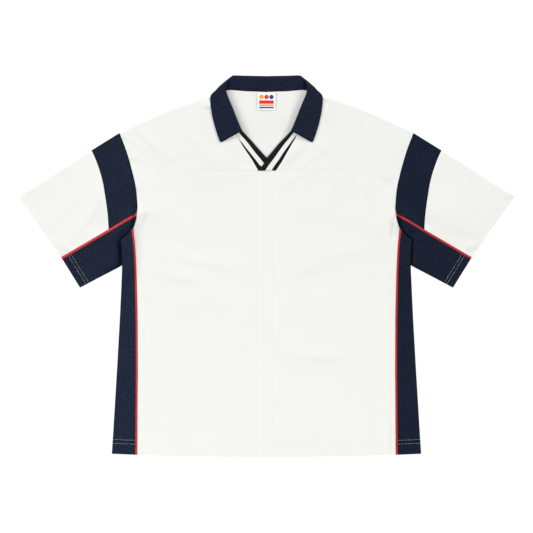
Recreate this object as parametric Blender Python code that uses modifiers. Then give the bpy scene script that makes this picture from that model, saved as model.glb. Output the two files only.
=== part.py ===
"""A polo shirt lying flat, face up, with its sleeves spread: metres, +Z up, +Y towards the collar.

Every piece of cloth is a sheet between outline curves, raised to the height at which it lies and given
its thickness by Solidify. The tables hold millimetres: "out" is the distance from the centre line,
"up" the distance towards the collar. A piece on the side of -X is called left and one on +X right.
"""

import math
from collections import namedtuple

import bmesh
import bpy
from mathutils import Vector

NAME = "polo_shirt"
MM = 0.001

# Cloth, in millimetres.
CLOTH = 1.2
COLLAR_CLOTH = 1.4
PIPING_CLOTH = 1.6
LABEL_CLOTH = 1.0
GAP = 0.3
STACK = CLOTH + GAP
TURN_STEPS = 5

# Widths, in millimetres.
STRIP = 32.6
PIPING = 4.4
LABEL_WIDTH = 36.0
LABEL_HEIGHT = 35.0
LABEL_TOP = 348.0

# Heights of the middle of each layer above the table, in millimetres.
BACK = CLOTH / 2
FRONT = BACK + 2.0
SLEEVE_FRONT = BACK + 1.7
COLLAR_FALL = COLLAR_CLOTH / 2
FALL_LIFT = COLLAR_CLOTH + GAP
ARMPIT_LIFT = 3.4
TRIM_LAP = STACK

# The area where the collar's fall lies under the back, and the one where a sleeve lies under the side.
FALL_WIDTH = 113.0
FALL_LOW = 311.0
FALL_SLOPE = 25.0
TUCK_INNER = 278.5
TUCK_LOW = -5.0
TUCK_HIGH = 67.0
TUCK_SLOPE = 16.0

# Outlines: rows of (out, up).
HEM_CENTRE = -381.0
HEM_RISE = 6.4
YOKE_SEAM = 191.6
BACK_NECK = [(0, 349.0), (43, 350.5), (72, 353.0), (83, 351.4), (88, 345.5), (93, 341.5)]
SHOULDER = [
    (93, 341.5), (100, 337.6), (109, 336.2), (113.5, 338.8), (124, 337.2), (172, 320.7), (224, 300.4),
    (294, 267.2),
]
ARMHOLE = [
    (294, 267.2), (283.2, 240), (277.2, 222), (272.0, 204), (268.6, 191.6), (263.4, 170), (260.1, 150),
    (257.6, 120), (258.3, 108), (259.7, 96), (262.7, 85), (265.8, 77),
]
AT_YOKE_SEAM = 4
AT_SLEEVE_SEAM = 8
BAND_EDGE = [
    (350, 232.4), (342.6, 216), (333.8, 192), (327.3, 168), (323.3, 144), (319.6, 120), (317.1, 96),
    (315.8, 74.4),
]
CUFF_TOP = (496, 140)
CUFF_SEAM = (411, 18.7)
CUFF_SEAM_LOW = (408.3, 14.5)
CUFF_LOW = (373, -42.3)
ARMHOLE_SEAM_LOW = (259.05, 101.7)
SLEEVE_FOLD = [(279, 7.3), (307.9, -8), (373, -42.3)]
SLEEVE_TUCK = [(270, 73.2), (274.6, 67.8), (279.3, 60), (280.4, 45), (280, 25), (279, 7.3)]
SIDE_EDGE = [
    (265.8, 77), (264.7, 64), (262.6, 46), (261.1, 22), (259.9, -5), (259.7, -10), (259.5, -15), (259.2, -21),
    (258.7, -44), (257.4, -100), (257.0, -200), (258.1, -376.5),
]
SIDE_FOLD = [
    (291, 53), (289.3, 44), (288.5, 33), (288.4, 16), (288.5, -5), (288.7, -10), (288.9, -15), (289.3, -21),
    (290.6, -44), (293.2, -100), (298.5, -195), (309.3, -374.6),
]
SIDE_TOP = [(270.2, 73), (275.5, 66.5), (282, 60), (291, 53)]
NECKLINE = [(64.5, 270), (71, 287), (78, 305), (84.5, 321), (89, 332), (93, 341.5)]

# The V of the neck: at each height, how far out the outer edge of each trim lies.
VEdge = namedtuple("VEdge", "up left right")
V_EDGE = [
    VEdge(191.6, 16.3, 18.6),
    VEdge(204, 23.6, 27.3),
    VEdge(216, 30.7, 34.4),
    VEdge(228, 39.0, 41.2),
    VEdge(240, 46.9, 48.0),
    VEdge(256, 56.3, 57.7),
    VEdge(266, 62.3, 62.3),
]
TRIM_INNER_LEFT = [(49.6, 272.2), (0, 217.0)]
TRIM_INNER_RIGHT = [(49.6, 272.2), (0.6, 216.6), (-4.4, 207), (-10, 199.6), (-16.1, 191.6)]

# The collar, a row for each section from the front end to the centre of the back: the neck seam, the
# inner roll, the outer fold (or free edge) and the edge that is turned under, each as (out, up); the
# heights of the stand and of the roll's top; how far the fall has turned under, 0 to 1; how far up the
# stand's end is set.
Section = namedtuple("Section", "seam roll fold edge stand top turned tuck")
COLLAR = [
    Section((63.6, 271), (48.9, 271), (92.6, 246.6), None, 2.6, 8.2, 0, 4.0),
    Section((70.2, 287), (56.2, 288), (103.2, 279), None, 2.6, 8.6, 0, 0),
    Section((77.2, 305), (62.6, 304), (109.0, 303), None, 3.7, 9.5, 0, 0),
    Section((83.7, 321), (68.9, 320), (111.7, 321), None, 4.3, 9.9, 0, 0),
    Section((88.2, 332), (75.5, 336), (112.6, 333), None, 4.3, 9.9, 0, 0),
    Section((90.4, 337.5), (77.8, 341.5), (112.4, 338), None, 4.3, 9.9, 0, 0),
    Section((91.6, 341), (79.6, 347), (111.0, 342.8), None, 4.3, 9.9, 0.5, 0),
    Section((83.4, 354.2), (80.8, 353), (108.0, 346.6), (107.0, 339.6), 4.3, 9.9, 1, 0),
    Section((83.4, 354.2), (80.4, 358), (102.4, 351.6), (106.0, 333), 4.3, 9.6, 1, 0),
    Section((83.4, 354.2), (78.2, 365), (92.6, 361.2), (102, 320), 3.8, 7.4, 1, 0),
    Section((72.5, 353.9), (73.0, 376.2), None, (78, 313), 2.3, 5.3, 1, 0),
    Section((66, 353.4), (65.5, 379.7), None, (66, 313), 2.3, 5.3, 1, 0),
    Section((43, 351.4), (43, 379.2), None, (43, 313), 2.3, 5.3, 1, 0),
    Section((0, 349.9), (0, 378.5), None, (0, 313), 2.3, 5.3, 1, 0),
]
COLLAR_STEPS = 2
AT_ROLL = 3
LAST_FRONT = 6
FIRST_BACK = 10
STAND_END = [(83.4, 354.2, 2.4), (79.2, 359.5, 2.6), (73.6, 369.5, 3.2)]


def linear(colour):
    """The linear RGBA of an sRGB colour written as six hex digits."""
    values = [int(colour[i : i + 2], 16) / 255 for i in (0, 2, 4)]
    return [v / 12.92 if v <= 0.04045 else ((v + 0.055) / 1.055) ** 2.4 for v in values] + [1.0]


def fabric(name, colour, roughness):
    material = bpy.data.materials.new(name)
    material.use_nodes = True
    shader = material.node_tree.nodes["Principled BSDF"]
    shader.inputs["Base Color"].default_value = linear(colour)
    shader.inputs["Roughness"].default_value = roughness
    shader.inputs["Metallic"].default_value = 0.0
    material.diffuse_color = linear(colour)
    return material


# Curves in plan.


def smoothed(points, steps=6):
    """The points with a Catmull-Rom curve between them."""
    points = [Vector(p) for p in points]
    ends = [points[0] * 2 - points[1]] + points + [points[-1] * 2 - points[-2]]
    result = [points[0]]
    for a, b, c, d in zip(ends, ends[1:], ends[2:], ends[3:]):
        for k in range(1, steps + 1):
            t = k / steps
            bend = (c - a) * t + (a * 2 - b * 5 + c * 4 - d) * t**2 + (b * 3 - a - c * 3 + d) * t**3
            result.append(b + bend / 2)
    return result


def fractions(points):
    """The share of the line's length at which each point lies."""
    points = [Vector(p) for p in points]
    reached = [0.0]
    for a, b in zip(points, points[1:]):
        reached.append(reached[-1] + (b - a).length)
    return [length / reached[-1] for length in reached]


def curve(points, shares=None):
    """A function that gives the point at a share, 0 to 1, of the line through the points."""
    points = [Vector(p) for p in points]
    shares = shares or fractions(points)

    def at(share):
        k = 1
        while k < len(shares) - 1 and shares[k] < share:
            k += 1
        return points[k - 1].lerp(points[k], (share - shares[k - 1]) / (shares[k] - shares[k - 1]))

    return at


def hem(out):
    """How far up the hem lies: it dips a little towards the centre."""
    return HEM_CENTRE + HEM_RISE * (out / SIDE_FOLD[-1][0]) ** 2


def hem_line(inner, outer, count=6):
    outs = [inner + (outer - inner) * k / count for k in range(count + 1)]
    return [(out, hem(out)) for out in outs]


def along(points, distance):
    """The points moved outwards by the distance."""
    return [(out + distance, up) for out, up in points]


# Sheets.


def patch(bottom, top, inner, outer, across, up):
    """Plan points between four boundary curves: a row for each share in up, a point for each in across."""

    def at(u, v):
        ruled = bottom(u).lerp(top(u), v) + inner(v).lerp(outer(v), u)
        return ruled - bottom(0).lerp(bottom(1), u).lerp(top(0).lerp(top(1), u), v)

    return [[at(u, v) for u in across] for v in up]


def drawn_in(border, neighbours, distance):
    """The border's points moved along the grid, until the border lies the distance further in."""
    moved = []
    last = len(border) - 1
    for k, (point, neighbour) in enumerate(zip(border, neighbours)):
        run = (border[min(k + 1, last)] - border[max(k - 1, 0)]).normalized()
        way = (neighbour - point).normalized()
        amount = distance[k] if isinstance(distance, list) else distance
        moved.append(point + way * amount / abs(way.x * run.y - way.y * run.x))
    return moved


def trimmed(rows, bottom=0.0, top=0.0, inner=0.0, outer=0.0):
    """The plan rows with each border drawn in by its distance."""
    rows = list(rows)
    rows[0] = drawn_in(rows[0], rows[1], bottom)
    rows[-1] = drawn_in(rows[-1], rows[-2], top)
    columns = list(zip(*rows))
    columns[0] = drawn_in(columns[0], columns[1], inner)
    columns[-1] = drawn_in(columns[-1], columns[-2], outer)
    return [list(row) for row in zip(*columns)]


def raised(rows, height):
    """The plan rows at the height that the function gives for (out, up)."""
    return [[Vector((p.x, p.y, height(p.x, p.y))) for p in row] for row in rows]


def turn(upper, lower, before):
    """Rows of the half circle by which cloth turns from the upper row to the lower one."""
    rows = []
    last = len(upper) - 1
    for step in range(1, TURN_STEPS):
        angle = math.pi * step / TURN_STEPS
        row = []
        for k, (high, low) in enumerate(zip(upper, lower)):
            run = upper[min(k + 1, last)] - upper[max(k - 1, 0)]
            away = Vector((run.y, -run.x, 0)).normalized()
            if away.dot(high - before[k]) < 0:
                away = -away
            radius = (high.z - low.z) / 2
            middle = (high + low) / 2
            row.append(middle + away * radius * math.sin(angle) + Vector((0, 0, radius * math.cos(angle))))
        rows.append(row)
    return rows


def folded(front, back, front_height, back_height):
    """A sheet that turns from its front layer to its back layer at the last row of each."""
    upper = raised(front, front_height)
    lower = raised(back, back_height)
    return upper + turn(upper[-1], lower[-1], upper[-2]) + lower[::-1]


def cloth(name, grids, side, thickness, material, mirrored=False, even=True):
    """A piece of cloth: sheets of rows that join at their shared points, made solid with one thickness."""
    mesh = bpy.data.meshes.new(name)
    sheet = bmesh.new()
    for rows in grids:
        lines = [[sheet.verts.new((side * p.x * MM, p.y * MM, p.z * MM)) for p in row] for row in rows]
        for line, following in zip(lines, lines[1:]):
            for a, b, c, d in zip(line, line[1:], following[1:], following):
                sheet.faces.new((a, b, c, d))
    bmesh.ops.remove_doubles(sheet, verts=sheet.verts, dist=0.001 * MM)
    sheet.to_mesh(mesh)
    sheet.free()
    mesh.materials.append(material)
    mesh.shade_smooth()
    piece = bpy.data.objects.new(name, mesh)
    bpy.data.collections[NAME].objects.link(piece)
    if mirrored:
        mirror = piece.modifiers.new("Mirror", "MIRROR")
        mirror.merge_threshold = 0.0001
    wall = piece.modifiers.new("Wall", "SOLIDIFY")
    wall.thickness = thickness * MM
    wall.offset = 0.0
    wall.use_even_offset = even
    return piece


# Heights.


def ease(share):
    share = min(max(share, 0.0), 1.0)
    return share * share * (3 - 2 * share)


def outside(value, low, high):
    return max(low - value, value - high, 0.0)


def lift(out, up):
    """How far the body is lifted by the collar's fall beneath it, and by the sleeve beneath its side."""
    from_fall = math.hypot(outside(out, -FALL_WIDTH, FALL_WIDTH), outside(up, FALL_LOW, 1000))
    from_tuck = math.hypot(outside(abs(out), TUCK_INNER, 1000), outside(up, TUCK_LOW, TUCK_HIGH))
    over_fall = FALL_LIFT * (1 - ease(from_fall / FALL_SLOPE))
    return over_fall + ARMPIT_LIFT * (1 - ease(from_tuck / TUCK_SLOPE))


def back_height(out, up):
    return BACK + lift(out, up)


def front_height(out, up):
    return FRONT + lift(out, up)


def sleeve_back_height(out, up):
    return BACK


def sleeve_front_height(out, up):
    return SLEEVE_FRONT


# The pieces.

HALF_GAP = GAP / 2
BODY_FOLD = (FRONT - BACK + CLOTH) / 2
SLEEVE_FOLD_IN = (SLEEVE_FRONT - BACK + CLOTH) / 2


def back_panel(material):
    """The whole back, from the hem to the neck seam. Its shoulder edges end where the yokes turn under."""
    outer = along(SIDE_EDGE[::-1], PIPING / 2)[:-1] + [SIDE_EDGE[0]] + ARMHOLE[-2::-1]
    top = BACK_NECK + SHOULDER[1:]
    up = sorted(fractions(outer) + [0.953, 0.978])
    centre = [(0, hem(0)), BACK_NECK[0]]
    rows = patch(curve(hem_line(0, outer[0][0])), curve(top), curve(centre), curve(outer), fractions(top), up)
    seam = [HALF_GAP] * (len(BACK_NECK) - 2) + [1.5, 3.4] + [BODY_FOLD + GAP] * (len(SHOULDER) - 1)
    rows = raised(trimmed(rows, top=seam, outer=HALF_GAP), back_height)
    return cloth("back_panel", [rows], 1, CLOTH, material, mirrored=True)


def front_strip(material):
    """The narrow strip down the centre, from the chest seam to the hem."""
    half = STRIP / 2 - HALF_GAP
    rows = [hem_line(-half, half), [(out, YOKE_SEAM - HALF_GAP) for out, _ in hem_line(-half, half)]]
    rows = raised([[Vector(p) for p in row] for row in rows], front_height)
    return cloth("front_strip", [rows], 1, CLOTH, material)


def front(name, side, material):
    """A lower front, between the centre strip, the hem, the side piping, the armhole and the chest seam."""
    outer = SIDE_EDGE[::-1] + ARMHOLE[-2:AT_YOKE_SEAM - 1:-1]
    inner = [(STRIP / 2, hem(STRIP / 2)), (STRIP / 2, YOKE_SEAM)]
    rows = patch(curve(hem_line(inner[0][0], outer[0][0])), curve([inner[1], outer[-1]]), curve(inner),
                 curve(outer), [0, 0.5, 0.85, 0.93, 1], fractions(outer))
    rows = trimmed(rows, top=HALF_GAP, inner=HALF_GAP, outer=HALF_GAP)
    return cloth(name, [raised(rows, front_height)], side, CLOTH, material)


def yoke(name, side, v_edge, material):
    """A yoke from the chest seam up, turned over the shoulder to meet the back."""
    outer = ARMHOLE[AT_YOKE_SEAM::-1]
    inner = v_edge + NECKLINE
    rows = patch(curve([inner[0], outer[0]]), curve(SHOULDER), curve(inner), curve(outer),
                 fractions(SHOULDER), fractions(inner))
    rows = trimmed(rows, bottom=HALF_GAP, top=BODY_FOLD, inner=HALF_GAP, outer=HALF_GAP)
    return cloth(name, [folded(rows, rows[-1:], front_height, back_height)], side, CLOTH, material)


def side_panel(name, side, material):
    """A side, folded in two: its front half is seen, and its back half lies under it."""
    seam = along(SIDE_EDGE[1:], PIPING)
    front_seam = curve([SIDE_TOP[0]] + seam)
    back_seam = curve([along([SIDE_TOP[0]], -PIPING / 2)[0]] + along(seam, -PIPING / 2))
    bottom = curve(hem_line(seam[-1][0], SIDE_FOLD[-1][0]))
    lengthwise = fractions([SIDE_TOP[0]] + seam)
    fold = curve(SIDE_FOLD, lengthwise)
    halves = []
    for line in (front_seam, back_seam):
        start = curve([line(0)] + [Vector(p) for p in SIDE_TOP[1:]])
        end = curve([line(1), bottom(1)])
        rows = patch(line, fold, start, end, lengthwise, [0, 0.3, 0.6, 1])
        halves.append(trimmed(rows, bottom=HALF_GAP, top=BODY_FOLD, inner=HALF_GAP))
    return cloth(name, [folded(*halves, front_height, back_height)], side, CLOTH, material)


def sleeve_band(name, side, material):
    """The band at the head of a sleeve, between the armhole and the outer piece, over the top fold."""
    armhole = ARMHOLE[AT_SLEEVE_SEAM::-1]
    edge = curve(smoothed(BAND_EDGE[::-1], 4))
    rows = patch(curve([armhole[0], edge(0)]), curve([SHOULDER[-1], BAND_EDGE[0]]), curve(armhole), edge,
                 [0, 0.5, 1], fractions(armhole))
    half = trimmed(rows, bottom=HALF_GAP, top=SLEEVE_FOLD_IN, inner=HALF_GAP, outer=HALF_GAP)
    return cloth(name, [folded(half, half, sleeve_front_height, sleeve_back_height)], side, CLOTH, material)


def sleeve_outer(name, side, material):
    """The outer piece of a sleeve, from the piping over the top fold to the same line at the back."""
    edge = curve(smoothed(BAND_EDGE[::-1], 4))
    cuff = curve([CUFF_SEAM, CUFF_TOP])
    rows = patch(curve([edge(0), CUFF_SEAM]), curve([BAND_EDGE[0], CUFF_TOP]), edge, cuff,
                 [0, 0.5, 1], fractions(ARMHOLE[AT_SLEEVE_SEAM::-1]))
    half = trimmed(rows, bottom=HALF_GAP, top=SLEEVE_FOLD_IN, inner=HALF_GAP)
    return cloth(name, [folded(half, half, sleeve_front_height, sleeve_back_height)], side, CLOTH, material)


def sleeve_under(name, side, material):
    """The under piece of a sleeve, round its lower fold. Its inner end is tucked beneath the side panel."""
    inner = [ARMHOLE_SEAM_LOW] + ARMHOLE[AT_SLEEVE_SEAM + 1:] + SLEEVE_TUCK
    rows = patch(curve([ARMHOLE_SEAM_LOW, CUFF_SEAM_LOW]), curve(SLEEVE_FOLD), curve(inner),
                 curve([CUFF_SEAM_LOW, CUFF_LOW]), [0, 0.12, 0.5, 1], fractions(inner))
    half = trimmed(rows, bottom=HALF_GAP, top=SLEEVE_FOLD_IN, inner=HALF_GAP)
    return cloth(name, [folded(half, half, sleeve_front_height, sleeve_back_height)], side, CLOTH, material)


def sleeve_piping(name, side, material):
    """The piping between the two pieces of a sleeve, from the armhole to the cuff."""
    rows = patch(curve([ARMHOLE_SEAM_LOW, CUFF_SEAM_LOW]), curve([ARMHOLE[AT_SLEEVE_SEAM], CUFF_SEAM]),
                 curve([ARMHOLE_SEAM_LOW, ARMHOLE[AT_SLEEVE_SEAM]]), curve([CUFF_SEAM_LOW, CUFF_SEAM]),
                 [0, 0.25, 0.5, 0.75, 1], [0, 0.5, 1])
    rows = trimmed(rows, bottom=HALF_GAP, top=HALF_GAP, inner=HALF_GAP)
    return cloth(name, [raised(rows, sleeve_front_height)], side, PIPING_CLOTH, material)


def side_piping(name, side, material):
    """The piping between a front and a side panel, from the armhole to the hem."""
    outer = [SIDE_TOP[0]] + along(SIDE_EDGE[1:], PIPING)
    start, end = curve([SIDE_EDGE[0], outer[0]]), curve([SIDE_EDGE[-1], outer[-1]])
    rows = patch(curve(SIDE_EDGE), curve(outer), start, end, fractions(SIDE_EDGE), [0, 0.5, 1])
    rows = trimmed(rows, bottom=HALF_GAP, top=HALF_GAP, inner=GAP)
    return cloth(name, [raised(rows, front_height)], side, PIPING_CLOTH, material)


def lapped_height(out, up):
    """The front's height, and above it where the right trim laps the left one."""
    return front_height(out, up) + TRIM_LAP * (1 - ease((out - 4.5) / 12))


def neck_trim(name, side, v_edge, inner, height, material):
    """One rib band of the V neck, from under the collar's leaf to the chest seam."""
    edge = v_edge[::-1]
    rows = patch(curve(inner), curve(edge), curve([inner[0], edge[0]]), curve([inner[-1], edge[-1]]),
                 fractions(edge), [0, 0.5, 1])
    rows = trimmed(rows, top=HALF_GAP, inner=HALF_GAP, outer=HALF_GAP)
    return cloth(name, [raised(rows, height)], side, CLOTH, material)


def neck_label(material):
    """The label inside the neck, on the back."""
    outs = [-LABEL_WIDTH / 2, 0, LABEL_WIDTH / 2]
    ups = [LABEL_TOP - LABEL_HEIGHT, LABEL_TOP]

    def height(out, up):
        return back_height(out, up) + (CLOTH + LABEL_CLOTH) / 2 + GAP

    rows = [[Vector((out, up)) for out in outs] for up in ups]
    return cloth("neck_label", [raised(rows, height)], 1, LABEL_CLOTH, material)


# The collar.


def spatial(plan, height):
    return Vector((plan.x, plan.y, height))


def rolled_section(section):
    """Ten points across the front or the shoulder of the collar: the stand, the roll and the fall over it."""
    half = COLLAR_CLOTH / 2
    seam, roll, fold = Vector(section.seam), Vector(section.roll), Vector(section.fold)
    stand_roll = roll + Vector((0, section.tuck))
    stand_way = (seam - stand_roll).normalized()
    fall_way = (fold - roll).normalized()
    radius = (section.top - section.stand) / 2
    rest = front_height(fold.x, fold.y) + (CLOTH + COLLAR_CLOTH) / 2 + GAP
    points = [
        spatial(seam, section.stand),
        spatial(seam.lerp(stand_roll, 0.5), section.stand),
        spatial(stand_roll + stand_way * (radius + half), section.stand),
        spatial(roll + (stand_way + fall_way) * (half / 2), section.stand + radius),
        spatial(roll + fall_way * (radius + half), section.top),
        spatial(roll.lerp(fold, 0.55), rest + (section.top - rest) * 0.6),
    ]
    if section.turned == 0:
        slope = ((0.72, 0.3), (0.86, 0.1), (0.95, 0.02), (1, 0))
        drop = section.top - rest
        return points + [spatial(roll.lerp(fold, share), rest + drop * left) for share, left in slope]
    if section.turned < 1:
        steps = ((3.2, 0.0), (1.3, 0.6), (half, 1.7), (half, 2.8))
        return points + [spatial(fold - fall_way * inwards, rest - drop) for inwards, drop in steps]
    edge = Vector(section.edge)
    radius = (rest - COLLAR_FALL) / 2
    under_way = (edge - fold).normalized()
    return points + [
        spatial(fold - fall_way * (radius + half), rest),
        spatial(fold - fall_way * half, COLLAR_FALL + radius),
        spatial(fold + under_way * (radius + half), COLLAR_FALL),
        spatial(edge, COLLAR_FALL),
    ]


def back_section(section):
    """Ten points across the back of the collar: the stand, which shows, and the fall turned under it."""
    half = COLLAR_CLOTH / 2
    seam, roll, edge = Vector(section.seam), Vector(section.roll), Vector(section.edge)
    way = (seam - roll).normalized()
    radius = (section.top - COLLAR_FALL) / 2
    centre = roll + way * (radius + half)
    points = [
        spatial(seam, section.stand),
        spatial(seam.lerp(roll, 0.45), section.stand + (section.top - section.stand) * 0.7),
    ]
    for step in range(7):
        angle = math.pi * step / 6
        height = COLLAR_FALL + radius * (1 + math.cos(angle))
        points.append(spatial(centre - way * radius * math.sin(angle), height))
    return points + [spatial(edge, COLLAR_FALL)]


def between(before, start, end, after, t):
    """A row at the share t between start and end, on the Catmull-Rom curves through the four rows."""
    row = []
    for a, b, c, d in zip(before, start, end, after):
        bend = (c - a) * t + (a * 2 - b * 5 + c * 4 - d) * t**2 + (b * 3 - a - c * 3 + d) * t**3
        row.append(b + bend / 2)
    return row


def collar(material):
    """Stand, roll and fall in one. The fall lies on the fronts and wraps the shoulders and the back."""
    sections = [rolled_section(s) if s.fold else back_section(s) for s in COLLAR]
    rows = [sections[0]]
    last = len(sections) - 1
    for k in range(last):
        ends = (sections[max(k - 1, 0)], sections[k], sections[k + 1], sections[min(k + 2, last)])
        rows += [between(*ends, step / COLLAR_STEPS) for step in range(1, COLLAR_STEPS + 1)]
    for point in sum(rows, []):
        point.z = max(point.z, COLLAR_FALL)
    for point in rows[-1]:
        point.x = 0.0
    front_end = LAST_FRONT * COLLAR_STEPS
    back_start = FIRST_BACK * COLLAR_STEPS
    wing = [[Vector(p) for p in STAND_END], rows[back_start][:AT_ROLL]]
    shoulder = [row[AT_ROLL:] for row in rows[front_end:back_start + 1]]
    grids = [rows[:front_end + 1], shoulder, rows[back_start:], wing]
    return cloth("collar", grids, 1, COLLAR_CLOTH, material, mirrored=True, even=False)


def clear():
    for obj in list(bpy.data.objects):
        bpy.data.objects.remove(obj, do_unlink=True)


def main():
    clear()
    bpy.context.scene.collection.children.link(bpy.data.collections.new(NAME))
    white = fabric("white_pique", "f4f5f0", 0.9)
    navy = fabric("navy_pique", "1f2738", 0.85)
    red = fabric("red_piping", "cd3c3c", 0.8)
    rib = fabric("black_rib", "1c1c20", 0.85)
    satin = fabric("label_satin", "f7f7f5", 0.55)
    back_panel(white)
    front_strip(white)
    neck_label(satin)
    collar(navy)
    for word, side in (("left", -1), ("right", 1)):
        v_edge = [(getattr(row, word), row.up) for row in V_EDGE]
        front("front_" + word, side, white)
        yoke("yoke_" + word, side, v_edge, white)
        side_panel("side_panel_" + word, side, navy)
        side_piping("side_piping_" + word, side, red)
        sleeve_band("sleeve_band_" + word, side, navy)
        sleeve_outer("sleeve_outer_" + word, side, white)
        sleeve_under("sleeve_under_" + word, side, navy)
        sleeve_piping("sleeve_piping_" + word, side, red)
        inner, height = (TRIM_INNER_LEFT, front_height) if side < 0 else (TRIM_INNER_RIGHT, lapped_height)
        neck_trim("neck_trim_" + word, side, v_edge, inner, height, rib)


main()
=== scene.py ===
"""The looks of a polo shirt that lies flat, face up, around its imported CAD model: metres, +Z up.

The tables hold millimetres. "out" is the distance from the centre line and "up" the distance towards the
collar, as in the CAD model's source, whose outlines are repeated here because this script can't read it.
A piece on the side of -X is called left and one on +X right.
"""

import math
from collections import namedtuple

import bmesh
import bpy
import numpy as np
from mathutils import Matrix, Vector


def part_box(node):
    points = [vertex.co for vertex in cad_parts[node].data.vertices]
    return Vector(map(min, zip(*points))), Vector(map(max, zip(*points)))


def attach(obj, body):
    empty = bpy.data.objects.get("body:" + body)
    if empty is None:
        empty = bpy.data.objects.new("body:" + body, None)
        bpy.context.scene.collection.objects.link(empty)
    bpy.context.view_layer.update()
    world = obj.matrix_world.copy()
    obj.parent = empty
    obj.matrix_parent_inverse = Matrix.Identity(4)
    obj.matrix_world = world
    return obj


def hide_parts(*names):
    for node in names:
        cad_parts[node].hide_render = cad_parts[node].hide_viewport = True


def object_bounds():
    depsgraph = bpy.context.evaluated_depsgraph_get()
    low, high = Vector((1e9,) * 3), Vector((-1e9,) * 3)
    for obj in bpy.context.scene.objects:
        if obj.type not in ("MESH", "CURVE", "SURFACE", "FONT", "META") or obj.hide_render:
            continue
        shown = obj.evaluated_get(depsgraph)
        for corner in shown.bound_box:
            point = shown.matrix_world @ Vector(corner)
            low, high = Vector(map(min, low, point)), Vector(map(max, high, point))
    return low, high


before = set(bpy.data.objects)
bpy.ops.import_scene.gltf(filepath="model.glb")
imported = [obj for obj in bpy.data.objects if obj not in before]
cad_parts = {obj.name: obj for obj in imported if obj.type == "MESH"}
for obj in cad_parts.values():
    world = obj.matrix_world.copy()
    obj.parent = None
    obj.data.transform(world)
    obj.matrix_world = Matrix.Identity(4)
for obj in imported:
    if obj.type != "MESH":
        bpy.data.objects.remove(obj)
CAD_LOW, CAD_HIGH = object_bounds()

MM = 0.001
SIDES = (("left", -1), ("right", 1))

# Thicknesses of the shells.
SHELL = 0.9
COLLAR_SHELL = 1.1
PIPING_SHELL = 0.8
LABEL_SHELL = 0.5
TURNED_CLOTH = 0.25

# Seams: half the gap between two pieces, how wide cloth dips along them, and how deep.
HALF_GAP = 0.005
STRIP_GAP = 0.05
PIPING_GAP = 0.3
SEAM_WIDTH = 1.5
SEAM_DIP = 0.4
STRIP_DIP = 0.75
ARMHOLE_DIP = 0.35
BAND_DIP = 0.3
TRIM_DIP = 0.3
FLAT_DIP = 0.05

# Twin stitching: how far each row lies from the edge and ends before a seam or a fold, and over how much the
# turned cloth steps down.
HEM_STITCHES = (21.2, 28.8)
CUFF_STITCHES = (14.1, 20.0)
HEM_STITCH_INSET = 0.3
CUFF_STITCH_INSET = 1.2
FOLD_INSET = 2
TURNED_STEP = 2.0

# Grids: the step along a length and across a narrow piece, how close two shares may be, how far from a seam
# or a fold the points beside it lie, and those over a seam allowance, and counts of steps, points or cells.
STEP = 4.0
FINE_STEP = 3.0
CLOSE = 0.0025
FINE = (0.8, 1.8, 3.2, 5.5)
BESIDE_ALLOWANCE = (8.0, 10.0, 11.5, 13.0, 14.5, 16.0, 18.0)
FOLD_END = 4.5
TURN_STEPS = 8
HEM_STEPS = 12
PIPING_POINTS = 9
STRIPE_CELLS = (6, 6, 5)

# The widths of the centre strip and of the piping, and how high and how round the piping's crown is.
STRIP = 32.6
PIPING = 4.4
PIPING_CROWN = 0.7
PIPING_ROUND = 0.96

# Heights of the middle of each layer above the table, and what lifts it. Tables with -1 and 1 hold a value
# for the left and one for the right.
BACK = 0.6
FRONT = 2.6
SLEEVE_FRONT = 2.3
COLLAR_FALL = 0.7
FALL_LIFT = 1.7
ARMPIT_LIFT = {-1: 8.5, 1: 5.0}
TRIM_LAP = 1.5
LAP_FROM, LAP_OVER = 4.5, 12

# How far the front layer lies in from its fold.
BODY_FOLD = (FRONT - BACK + SHELL) / 2
SLEEVE_FOLD_IN = (SLEEVE_FRONT - BACK + SHELL) / 2

# The swelling of a sleeve beside the side panel: its height, the width of its flank and of its far slope. It
# narrows from a height on, and from the next it turns into a wedge in the armpit. It fades in over the
# sleeve's lower fold and out above the piping, which run at these slopes.
BULGE = {-1: 7.5, 1: 5.5}
BULGE_FLANK = {-1: 15.0, 1: 8.0}
BULGE_START, BULGE_FALL = 0.5, 34
NARROWS_FROM, NARROWING = 47, 0.3
WEDGE_FROM, WEDGE_OVER = 64, 12
WEDGE, WEDGE_FLANK, WEDGE_INWARDS = 11.0, 9.5, 6.0
FOLD_SLOPE, FOLD_FADE = 0.53, 10
PIPING_SLOPE, PIPING_FADE_FROM, PIPING_FADE = 0.56, 4, 30

# How much further than its seam the cloth covers the piping: on the sleeves, and on the inner and the outer
# side of the side piping, from a height down.
SLEEVE_SLIM = {-1: 0.0, 1: 0.85}
SIDE_SLIM = {-1: (0.3, 0.4), 1: (0.15, 1.1)}
SLIM_FROM, SLIM_OVER = 66, 12

# The area where the collar's fall lies under the back, and the one where a sleeve lies under the side.
FAR = 1000
FALL_WIDTH = 113.0
FALL_LOW = 311.0
FALL_SLOPE = 60.0
TUCK_INNER = 278.5
TUCK_LOW = -5.0
TUCK_HIGH = 67.0
TUCK_SLOPE = 16.0
TUCK_FALL = 45.0

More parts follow.
